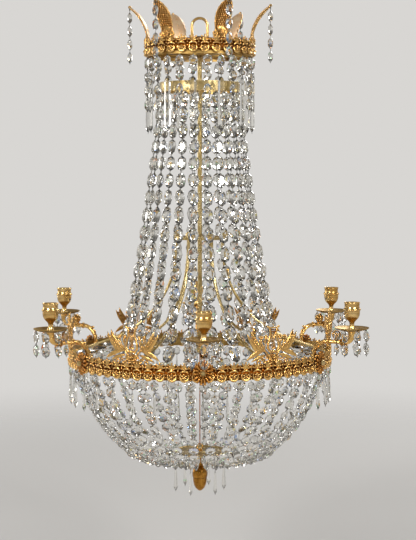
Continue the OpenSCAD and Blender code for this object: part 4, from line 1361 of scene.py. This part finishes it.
@dataclass
class LyreGroups(Work):
    """Six lyres that stand on the lower ring, each between a pair of wings.

    Attributes:
        cluster: Height of the flowers that a lyre stands on.
        lyre_out: How far a lyre's back stands out from the hoop.
        wing_in: How far the wings' backs stand in from it.
    """

    cluster: float = 17.0
    lyre_out: float = 2.5
    wing_in: float = 2.1

    def lyre(self) -> Shape:
        """Give one lyre, with its foot at z = 0.

        Returns:
            Its two arms, crossbars and foot.
        """
        outline = smooth_line([(0.0, 2.6), (7.6, 4.0), (12.4, 10.5), (12.2, 18.5), (9.4, 28.0),
                               (7.4, 36.0), (7.6, 44.0), (9.6, 50.0), (12.4, 52.4)])
        arm_path = np.array([(0.8, y, z) for y, z in outline])
        arm = joined([sweep(arm_path, ROUND, np.linspace(2.6, 1.8, len(outline))),
                      ball(arm_path[-1], 2.5)])
        parts = [arm, arm.mirrored()]
        for z in (42.5, 46.5, 50.5):
            bar = np.array([[0.8, -7.0, z], [0.8, 7.0, z]])
            parts.append(sweep(bar, ROUND, 1.3, face=(0, 0, 1)))
        parts += [ball((1.5, 0, 9.6), (2.2, 6.6, 2.0), 12, 6),
                  ball((1.6, 0, 3.4), (3.0, 4.4, 3.4), 12, 6)]
        parts += [ball((1.2, y, 1.0), 1.7) for y in np.linspace(-7.0, 7.0, 5)]
        return joined(parts)

    def strings(self) -> Shape:
        """Give a lyre's three strings, a little duller than its frame, with relief 0.7, which paints a
        little shade on them.
        """
        lines = [np.array([[0.7, y, 9.0], [0.7, y, 43.0]]) for y in (-3.4, 0.0, 3.4)]
        return joined(sweep(line, ROUND, 1.05) for line in lines).raised(0.7)

    def foot(self) -> Shape:
        """Give the flowers, berries and leaves under a lyre, with their foot at z = 0."""
        # The core behind the flowers takes relief 0.1: painted shade
        core = ball((0.2, 0, self.cluster * 0.45), (2.0, 9.0, self.cluster * 0.5), 12, 6).raised(0.1)
        parts = [core, flower(5.4, 7, 3.2).moved(1.8, 0, 10.4)]
        for s in (-1, 1):
            parts.append(leaf([(0.8, s * 3, 4), (2.4, s * 9, 8), (1.0, s * 12, 15)], 2.8, 1.2, 7))
            for y, z, size in ((5.5, 3.6, 2.3), (9.4, 5.0, 2.0), (2.0, 2.4, 2.0), (7.4, 14.6, 1.9)):
                parts.append(ball((2.2, s * y, z), size))
        return joined(parts)

    def feathers(self) -> list[Shape]:
        """Give the broad upper feathers and the tail leaves of one wing, from its root outward."""
        root = np.array([1.5, 20.0, 27.0])
        parts = [ball(root, (2.6, 3.4, 3.4))]
        tips = ((38, 33, 50, 66, 5.2), (43, 27, 59, 61, 5.0), (40, 20, 52, 49, 4.2))
        for k, (bend_y, bend_z, y, z, width) in enumerate(tips):
            path = [root, (3.4 - 0.6 * k, bend_y, bend_z), (1.6 - 0.8 * k, y, z)]
            parts.append(leaf(path, width, 2.6, 12, blunt=0.65))
        spine = curve([(2.4, 21, 28), (4.2, 40, 31), (3.0, 51, 58)], 8)
        for j, at in enumerate(spine[:8]):
            for s in (-1.0, 1.0):
                end = at + (0.6, 3.2 + 2.4 * s, 7.0 - 2.2 * s)
                parts.append(leaf([at, (at + end) / 2 + (1.3, 0, 0), end], 1.9 - 0.08 * j, 1.3, 5))
        for start, bend, end, width in (((1.5, 22, 26), (3.0, 44, 22), (0.8, 62, 8), 4.6),
                                        ((1.2, 17, 17), (2.6, 34, 14), (1.0, 50, 5), 3.6)):
            parts.append(leaf([start, bend, end], width, 1.5, 11))
        return parts

    def wing(self) -> Shape:
        """Give one wing of a pair, with its foot beside the lyre's.

        Returns:
            Its stem, feathers, buds and berries.
        """
        stem = curve([(0.6, 6, 3), (2.2, 8, 18), (1.5, 20, 27)], 8)
        parts = self.feathers() + [sweep(stem, ROUND, np.linspace(2.6, 1.8, 9))]
        for y, lean in ((28.0, 3.0), (16.5, -1.0)):
            stalk = curve([(2.6, 20, 28), (3.8, y - lean, 38), (3.2, y, 49)], 6)
            parts += [sweep(stalk, ROUND, 1.0), ball((3.2, y, 53), (3.0, 3.6, 4.2), 10, 6),
                      flower(3.6, 6, 2.2).moved(5.2, y, 53),
                      leaf([(2.8, y - lean, 40), (4.0, y + 4, 43), (3.0, y + 3.5, 49)], 1.9, 1.0, 6)]
        parts += [flower(4.2, 6, 2.6).moved(2.2, 13.5, 12.5), flower(3.8, 6, 2.4).moved(2.0, 24.0, 9.0)]
        berries = ((9, 3.5), (13, 4.5), (17.5, 3.5), (21.5, 3), (29, 5), (33.5, 7), (18.5, 9),
                   (9.5, 17))
        for k, (y, z) in enumerate(berries):
            parts.append(ball((2.6 + 0.4 * (k % 2), y, z), 2.0 + 0.3 * (k % 3)))
        return joined(parts)

    def build(self) -> None:
        """Make the lyres and their wings."""
        hoop = span("ring_hoop")
        # Painted shade in the hollows of the lyre and its foot; the strings are joined after, with
        # their own painted shade
        lyre = wear_and_shade(joined([self.foot(), self.lyre().moved(z=self.cluster)]))
        lyre = joined([lyre, self.strings().moved(z=self.cluster)])
        lyre = lyre.moved(hoop.radius + self.lyre_out, 0, span("lyres").low)
        self.cast("Lyres_cast", around(lyre, ARMS), "lyres")
        wing = self.wing()
        plinth = ball((0.4, 0, 3.0), (2.2, 13.0, 4.0), 12, 5)
        # Painted shade in the hollows of the wings
        pair = wear_and_shade(joined([wing, wing.mirrored(), plinth]), reach=5.0, rays=18)
        pair = pair.moved(hoop.radius - self.wing_in, 0, hoop.high)
        self.cast("Lyre_wings_cast", around(pair, ARMS), "lyre_wings")


@dataclass
class CandleArms(Work):
    """Six candle arms with their plaques and baskets, and the seats of their pans.

    Attributes:
        foot_r: Radius of an arm's upright foot.
        level: Height of its level run.
        bend_r: Radius of its arch.
        run: Length of its level run.
        horn_r: Radius of its horn.
        bar: Half thickness of its bar.
        twist: Degrees by which the bar turns at each step.
        horn: Half thickness of the horn where it begins.
        flare: How much thicker it is at the pan.
        collar_leaves: Leaves round the foot of the horn.
        plaque_half: Half width and half height of a plaque.
        gadroons: Lobes round its edge.
        beads: Beads in its inner ring.
        plaque_out: How far its back stands out from the hoop.
        basket_share: Where the basket stands along the level run.
    """

    foot_r: float = 269.6
    level: float = -670.0
    bend_r: float = 30.0
    run: float = 36.4
    horn_r: float = 17.0
    bar: float = 4.5
    twist: float = 17.0
    horn: float = 4.6
    flare: float = 3.6
    collar_leaves: int = 8
    plaque_half: tuple[float, float] = (21.0, 25.0)
    gadroons: int = 15
    beads: int = 24
    plaque_out: float = 5.1
    basket_share: float = 0.55

    @property
    def horn_start(self) -> float:
        """Give the radius at which the horn begins."""
        return self.foot_r + self.bend_r + self.run

    @staticmethod
    def quarter(x: float, z: float, radius: float, steps: int, rising: bool) -> list[Place]:
        """Give points on a quarter circle in the arm's plane.

        Args:
            x: Radius at which it starts.
            z: Height at which it starts.
            radius: Its own radius.
            steps: How many points it has.
            rising: Whether it sets off upward and ends level, or the other way.

        Returns:
            Its points.
        """
        points = []
        for a in np.linspace(0, math.pi / 2, steps):
            along, beside = radius * math.sin(a), radius * (1 - math.cos(a))
            points.append((x + beside, 0, z + along) if rising else (x + along, 0, z + beside))
        return points

    def arm(self) -> Shape:
        """Give one arm: a twisted bar, an arch, a leaf collar and a smooth horn.

        Returns:
            The arm, which points along X.
        """
        spring_z = self.level - self.bend_r
        pan_z = span("drip_pans").low
        upright = np.linspace(span("ring_hoop").low + 4.0, spring_z, 7)[:-1]
        level = np.linspace(self.foot_r + self.bend_r, self.horn_start, 14)[1:]
        bar = [(self.foot_r, 0, z) for z in upright]
        bar += self.quarter(self.foot_r, spring_z, self.bend_r, 19, rising=True)
        bar += [(x, 0, self.level) for x in level]
        candle_r, horn_z = self.horn_start + self.horn_r, self.level + self.horn_r
        horn = [(self.horn_start - 3, 0, self.level)]
        horn += self.quarter(self.horn_start, self.level, self.horn_r, 11, rising=False)
        horn += [(candle_r, 0, horn_z + (pan_z - horn_z) * share) for share in (0.5, 1.0)]
        swell = self.horn + self.flare * np.linspace(0, 1, len(horn))
        seat = revolve([(0, -2.4), (8.2, -2.4), (9.6, -1.2), (9.2, 0.0), (0, 0.0)], 20)
        parts = [sweep(np.array(bar), ROPE, self.bar, face=(0, 1, 0), turn=self.twist),
                 sweep(np.array(horn), FINE_ROUND, swell, face=(0, 1, 0)),
                 seat.moved(candle_r, 0, pan_z)]
        lobe = leaf([(-7, 0, 4.6), (0, 0, 6.8), (6.5, 0, 8.8)], 2.5, 1.1, 6, face=(0, 0, 1))
        collar = [lobe.turned(i * 360.0 / self.collar_leaves, "X") for i in range(self.collar_leaves)]
        ring = torus(5.8, 1.2, 18)
        tail = leaf([(-8, 0, -3), (-3, 0, -13), (6, 0, -13)], 3.6, 1.4, 8, face=(1, 0, 0.4), back=1.0)
        parts += [part.moved(self.horn_start, 0, self.level)
                  for part in (*collar, ring.moved(-7), ring.moved(2 - self.run), tail)]
        # A flat button on the arch's shoulder
        button, reach = math.radians(50), self.bend_r + 6.0
        parts.append(ball((self.foot_r + self.bend_r - reach * math.cos(button), 0,
                           spring_z + reach * math.sin(button)), (4.4, 4.4, 2.6), 12, 8))
        parts += self.scroll_leaves(spring_z)
        pad = revolve([(0, -9), (5.6, -9), (6.0, -7), (6.0, 7), (5.6, 9), (0, 9)], 12)
        parts.append(pad.moved(self.foot_r, 0, span("arm_plaques").low + 25))
        return joined(parts)

    def scroll_leaves(self, spring_z: float) -> list[Shape]:
        """Give the small leaves that grow from an arch's back.

        Args:
            spring_z: Height at which the arch begins.

        Returns:
            The leaves.
        """
        leaves = []
        for degrees in (12.0, 30.0):
            a = math.radians(degrees)
            out = np.array([-math.cos(a), 0.0, math.sin(a)])
            along = np.array([math.sin(a), 0.0, math.cos(a)])
            at = np.array([self.foot_r + self.bend_r, 0, spring_z]) + out * (self.bend_r + 3.2)
            leaves.append(leaf([at - along * 5, at + out * 1.5, at + along * 5 + out * 3.2],
                               2.4, 1.2, 6, face=tuple(out)))
        return leaves

    def basket(self) -> Shape:
        """Give one little basket of flowers.

        Returns:
            The basket, with its foot at z = 0.
        """
        bowl = revolve([(0, 0), (5.6, 0), (6.0, 1.0), (5.0, 2.6), (6.4, 5.0), (8.6, 10.5), (9.6, 12.6),
                        (9.8, 13.8), (8.8, 14.4), (0, 14.4)], 24, lobes=12, depth=0.05)
        # The bowl takes relief 0.6, which paints some shade on it
        parts = [bowl.raised(0.6), torus(9.5, 0.9, 24).turned(90, "Y").moved(0, 0, 13.6)]
        parts += [ball((8.0 * x, 8.0 * y, 9.0), 1.3, 6, 4) for x, y in circle(12)]
        blooms = [(0.0, 0.0, 21.4)] + [(5.2, 60.0 * i, 18.6) for i in range(6)]
        blooms += [(8.2, 40.0 * i + 20, 15.6) for i in range(9)]
        for reach, degrees, z in blooms:
            tilt = 90.0 - 60.0 * reach / 8.2
            bloom = flower(3.0, 5, 2.4).turned(-tilt, "Y").moved(reach * 0.86, 0, z - 1.4)
            parts.append(bloom.turned(degrees))
        # The mound under the flowers takes relief 0.1: painted shade
        parts.append(ball((0, 0, 15.5), (7.4, 7.4, 5.0), 12, 6).raised(0.1))
        return joined(parts)

    def plaque(self) -> Shape:
        """Give one shell-edged plaque, round the origin and facing outward.

        Returns:
            The plaque.
        """
        wide, tall = self.plaque_half
        # The plaque's ground takes relief 0.05: painted shade
        parts = [ball((0.4, 0, 0), (2.2, wide * 0.84, tall * 0.84), 24, 6).raised(0.05)]
        for z, y in circle(self.gadroons):
            out = np.array([0.0, wide * y, tall * z])
            path = curve([out * share + (x, 0, 0)
                          for share, x in ((0.46, 2.2), (0.68, 3.4), (0.86, 1.6))], 6)
            parts += [sweep(path, ROUND, np.linspace(1.2, 2.7, 7), np.linspace(1.0, 1.7, 7)),
                      ball(out * 0.89 + (1.6, 0, 0), 2.5)]
        parts += [ball((2.8, wide * 0.47 * y, tall * 0.47 * z), 1.1, 6, 4)
                  for z, y in circle(self.beads)]
        stretched = flower(8.6, 8, 2.8).mapped(lambda p: p * np.array([1.0, 1.0, 1.2]))
        parts += [stretched.moved(2.2, 0, 0), ball((5.0, 0, 0), 2.2)]
        return joined(parts)

    def build(self) -> None:
        """Make the arms, their baskets and their plaques."""
        # Each casting is darkened in its hollows with painted shade
        self.cast("Candle_arms_cast", around(wear_and_shade(self.arm()), ARMS, FIRST_ARM), "candle_arms")
        basket_r = self.foot_r + self.bend_r + self.run * self.basket_share
        basket = wear_and_shade(self.basket(), reach=4.0).moved(basket_r, 0, self.level + 2.4)
        self.cast("Arm_baskets_cast", around(basket, ARMS, FIRST_ARM), "arm_baskets")
        box = span("arm_plaques")
        plaque_r = span("ring_hoop").radius + self.plaque_out
        plaque = wear_and_shade(self.plaque()).moved(plaque_r, 0, (box.low + box.high) / 2)
        self.cast("Arm_plaques_cast", around(plaque, ARMS, FIRST_ARM), "arm_plaques",
                  self.finishes.old_ormolu)


@dataclass
class CandleCups(Work):
    """Six spun cups: an egg-shaped bowl on a trumpet foot, a ridge and a funnel mouth, with a screw.

    Attributes:
        bore_r: Radius of the bore that a candle stands in.
        floor_z: Height of the bore's floor above the cup's foot.
        screw_z: Height of the clamping screw above it.
        screw_r: Radius of the screw's head.
        screw_reach: From the cup's axis to the head, on the side of the stem.
        steps: Sides of the lathe work.
    """

    bore_r: float = 11.25
    floor_z: float = 27.0
    screw_z: float = 30.0
    screw_r: float = 2.6
    screw_reach: float = 15.6
    steps: int = 48

    def cup(self) -> Shape:
        """Give one cup, with its foot at z = 0."""
        bowl = smooth_line([(7.6, 0), (6.8, 1.6), (5.4, 5.6), (4.9, 10.6), (5.7, 14.4), (8.9, 18.2),
                            (12.7, 22.2), (15.2, 27.6), (16.2, 33.0), (16.2, 38.0)])
        ridge = smooth_line([(16.2, 38.0), (17.8, 39.4), (17.8, 41.6), (16.2, 42.8)], 3)
        cavetto = smooth_line([(16.2, 42.8), (15.2, 46.0), (15.2, 49.4), (15.7, 52.4), (16.6, 54.2)])
        mouth = smooth_line([(16.4, 55.0), (15.2, 54.6), (13.2, 50.0), (self.bore_r, 43.0)])
        profile = [(0.0, 0.0)] + bowl + ridge[1:] + cavetto[1:] + mouth
        profile += [(self.bore_r, self.floor_z), (0.0, self.floor_z)]
        return revolve(profile, self.steps)

    def build(self) -> None:
        """Make the cups and their screws."""
        shape = self.cup()
        low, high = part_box("candle_cup_1")
        candle_r = -0.5 * (low[1] + high[1]) / MM
        foot_z = low[2] / MM
        head = ball((-self.screw_reach, 0, self.screw_z), (0.9, self.screw_r, self.screw_r), 12, 6)
        for k in range(1, ARMS + 1):
            cup = shape.moved(candle_r, 0, foot_z).turned(FIRST_ARM + ARM_STEP * (k - 1))
            self.cast(f"Candle_cup_{k}_spun", cup, f"candle_cup_{k}", self.finishes.spun_gilt)
        screws = around(head.moved(candle_r, 0, foot_z), ARMS, FIRST_ARM)
        self.shop.make("Cup_screws", screws, self.finishes.steel, Slot.IRON)


# Studio


@dataclass
class Studio:
    """A pale floor and surround, soft lamps and the camera.

    Attributes:
        distance: From the camera to the stem, in metres.
        eye_z: Height of the camera.
        focal_px: Focal length in pixels of the picture.
        frame_h: Height of the picture in pixels.
        axis_x: Column at which the stem shows.
        frame_w: Width of the picture in pixels.
        horizon_y: Row of the camera's own height.
        swing: Degrees by which the camera stands to the side of the front arm.
        floor_z: Height of the floor.
        floor_r: Radius of the floor.
        fade: Radii from which and to which it fades away.
        aim_z: Height that the lamps look at.
        surround: Strength of the light from all round.
        pale: Colour of the surround.
        lamps: Name, place, width and height, and watts of each lamp.
    """

    distance: float = 2.88
    eye_z: float = -0.323
    focal_px: float = 1340.0
    frame_h: float = 540.0
    axis_x: float = 199.8
    frame_w: float = 416.0
    horizon_y: float = 172.0
    swing: float = -1.25
    floor_z: float = -1.3
    floor_r: float = 3.5
    fade: tuple[float, float] = (1.2, 3.4)
    aim_z: float = -0.5
    surround: float = 0.45
    pale: str = "D8D6D3"
    lamps: tuple[tuple[str, Place, tuple[float, float], float], ...] = (
        ("Key_lamp", (-1.7, -2.3, 0.7), (0.6, 0.8), 50.0),
        ("Fill_lamp", (1.7, -2.3, 0.7), (0.5, 0.8), 40.0),
        ("Back_lamp", (1.2, 2.2, 0.8), (0.7, 1.2), 26.0),
        ("Side_lamp", (-2.2, 1.4, 0.0), (0.5, 1.6), 16.0))

    def build_camera(self) -> None:
        """Stand the camera at the photograph's place."""
        data = bpy.data.cameras.new("Camera")
        data.sensor_fit = "VERTICAL"
        data.sensor_height = 36.0
        data.lens = 36.0 * self.focal_px / self.frame_h
        camera = bpy.data.objects.new("Camera", data)
        bpy.context.scene.collection.objects.link(camera)
        swing = math.radians(self.swing)
        camera.location = (self.distance * math.sin(swing), -self.distance * math.cos(swing),
                           self.eye_z)
        tilt = math.atan((self.frame_h / 2 - self.horizon_y) / self.focal_px)
        yaw = math.atan((self.frame_w / 2 - self.axis_x) / self.focal_px)
        camera.rotation_euler = (math.pi / 2 - tilt, 0.0, swing - yaw)
        bpy.context.scene.camera = camera

    def build_lamp(self, name: str, at: Place, size: tuple[float, float], watts: float) -> None:
        """Hang one soft lamp that looks at the chandelier.

        Args:
            name: Its name.
            at: Its place.
            size: Its width and height.
            watts: Its power.
        """
        data = bpy.data.lights.new(name, "AREA")
        data.shape = "RECTANGLE"
        data.size, data.size_y = size
        data.energy = watts
        lamp = bpy.data.objects.new(name, data)
        bpy.context.scene.collection.objects.link(lamp)
        lamp.location = at
        middle = Vector((0.0, 0.0, self.aim_z))
        lamp.rotation_euler = (middle - Vector(at)).to_track_quat("-Z", "Y").to_euler()

    def ramp(self, tree: NodeTree, height: NodeSocket,
             stops: Sequence[tuple[float, str]]) -> NodeSocket:
        """Add colours that change with height.

        Args:
            tree: The world's tree.
            height: The height, from 0 straight down to 1 straight up.
            stops: The height and colour of each stop, from the lowest.

        Returns:
            The colour.
        """
        node = add_node(tree, "ValToRGB", {"Fac": height})
        elements = node.color_ramp.elements
        for element, (position, colour) in zip(elements, (stops[0], stops[-1])):
            element.position, element.color = position, linear(colour)
        for position, colour in stops[1:-1]:
            elements.new(position).color = linear(colour)
        return node.outputs["Color"]

    def build_world(self) -> None:
        """Surround the scene with pale light, and with darker walls above for metal and glass."""
        world = bpy.data.worlds.new("Surround")
        world.use_nodes = True
        bpy.context.scene.world = world
        tree = world.node_tree
        tree.nodes.clear()
        path = add_node(tree, "LightPath")
        place = add_node(tree, "TexCoord").outputs["Generated"]
        rise = add_node(tree, "SeparateXYZ", {"Vector": place}).outputs["Z"]
        height = add_node(tree, "MapRange", {
            "Value": rise, "From Min": -1.0, "From Max": 1.0}).outputs["Result"]
        in_metal = self.ramp(tree, height, (
            (0.0, "8C8A86"), (0.42, "A6A4A0"), (0.5, self.pale), (0.6, "A3A09B"),
            (0.75, "63605D"), (0.9, "B4B1AC"), (1.0, "A8A5A0")))
        in_glass = self.ramp(tree, height, (
            (0.0, "8E8C89"), (0.42, "B9B7B3"), (0.5, self.pale), (0.6, "9A9894"),
            (0.75, "5A5855"), (1.0, "4A4845")))
        through, seen = path.outputs["Is Transmission Ray"], path.outputs["Is Camera Ray"]
        mirrored = add_node(tree, "Mix", {"Factor": through, "A": in_metal, "B": in_glass},
                            data_type="RGBA").outputs["Result"]
        colour = add_node(tree, "Mix", {"Factor": seen, "A": mirrored, "B": linear(self.pale)},
                          data_type="RGBA").outputs["Result"]
        lit = add_node(tree, "Background", {
            "Color": linear("DDDBD8"), "Strength": self.surround})
        shown = add_node(tree, "Background", {"Color": colour, "Strength": 1.0})
        mirror = add_node(tree, "Math", {0: path.outputs["Is Glossy Ray"], 1: through},
                          operation="MAXIMUM").outputs["Value"]
        either = add_node(tree, "Math", {0: mirror, 1: seen}, operation="MAXIMUM").outputs["Value"]
        mix = add_node(tree, "MixShader", {
            0: either, 1: lit.outputs["Background"], 2: shown.outputs["Background"]})
        add_node(tree, "OutputWorld", {"Surface": mix.outputs["Shader"]})

    def build_floor(self) -> None:
        """Lay a round pale floor that fades into the surround."""
        material, tree, surface = new_tree("Pale_floor")
        place = add_node(tree, "TexCoord").outputs["Object"]
        reach = add_node(tree, "VectorMath", {0: place}, operation="LENGTH").outputs["Value"]
        start, end = self.fade
        fade = add_node(tree, "MapRange", {"Value": reach, "From Min": start, "From Max": end},
                        interpolation_type="SMOOTHSTEP").outputs["Result"]
        diffuse = add_node(tree, "BsdfDiffuse", {"Color": linear("CFCDCA")})
        clear = add_node(tree, "BsdfTransparent")
        mix = add_node(tree, "MixShader", {
            0: fade, 1: diffuse.outputs["BSDF"], 2: clear.outputs["BSDF"]})
        tree.links.new(mix.outputs["Shader"], surface)
        mesh = bpy.data.meshes.new("Floor")
        work = bmesh.new()
        bmesh.ops.create_circle(work, cap_ends=True, radius=self.floor_r, segments=64)
        work.to_mesh(mesh)
        work.free()
        mesh.materials.append(material)
        floor = bpy.data.objects.new("Floor", mesh)
        floor.location = (0.0, 0.0, self.floor_z)
        bpy.context.scene.collection.objects.link(floor)

    def build(self) -> None:
        """Make the studio."""
        bpy.context.scene.view_settings.view_transform = "Standard"
        self.build_camera()
        self.build_world()
        self.build_floor()
        for lamp in self.lamps:
            self.build_lamp(*lamp)


def main() -> None:
    """Build the chandelier's looks and report each piece."""
    logging.basicConfig(level=logging.INFO, format="%(name)s %(message)s")
    Studio().build()
    shop = Workshop()
    finishes = Finishes()
    shop.dress(finishes.spun_gilt, "hanger_shackle", "pull_ring")
    shop.dress(finishes.dull_gilt, "corona_hoop", "corona_spider", "ring_hoop", "drip_pans")
    shop.dress(finishes.browned_gilt, "acorn_cap", "acorn_nut")
    shop.dress(finishes.drawn_brass, "stem_tubes", "stem_nuts", "inner_ring", "inner_spider",
               "spreader", "stay_rods", "stay_nuts", "ring_screws", "bottom_plate")
    shop.dress(finishes.copper, "base_link")
    shop.dress(finishes.steel, "hanger_pin", "stem_rod")
    for name, flowers, turn in (("Ring", 72, 0.0), ("Corona", 30, corona_turn())):
        hoop, row, crest = (span(f"{name.lower()}_{part}") for part in ("hoop", "gallery", "crest"))
        Gallery(shop, finishes, name, hoop.radius + CASTING_OUT, row.low, row.high, crest.high,
                flowers, turn).build()
    for work in (Plumes, LyreGroups, CandleArms, CandleCups, CrystalDressing):
        work(shop, finishes).build()


if __name__ == "__main__":
    main()
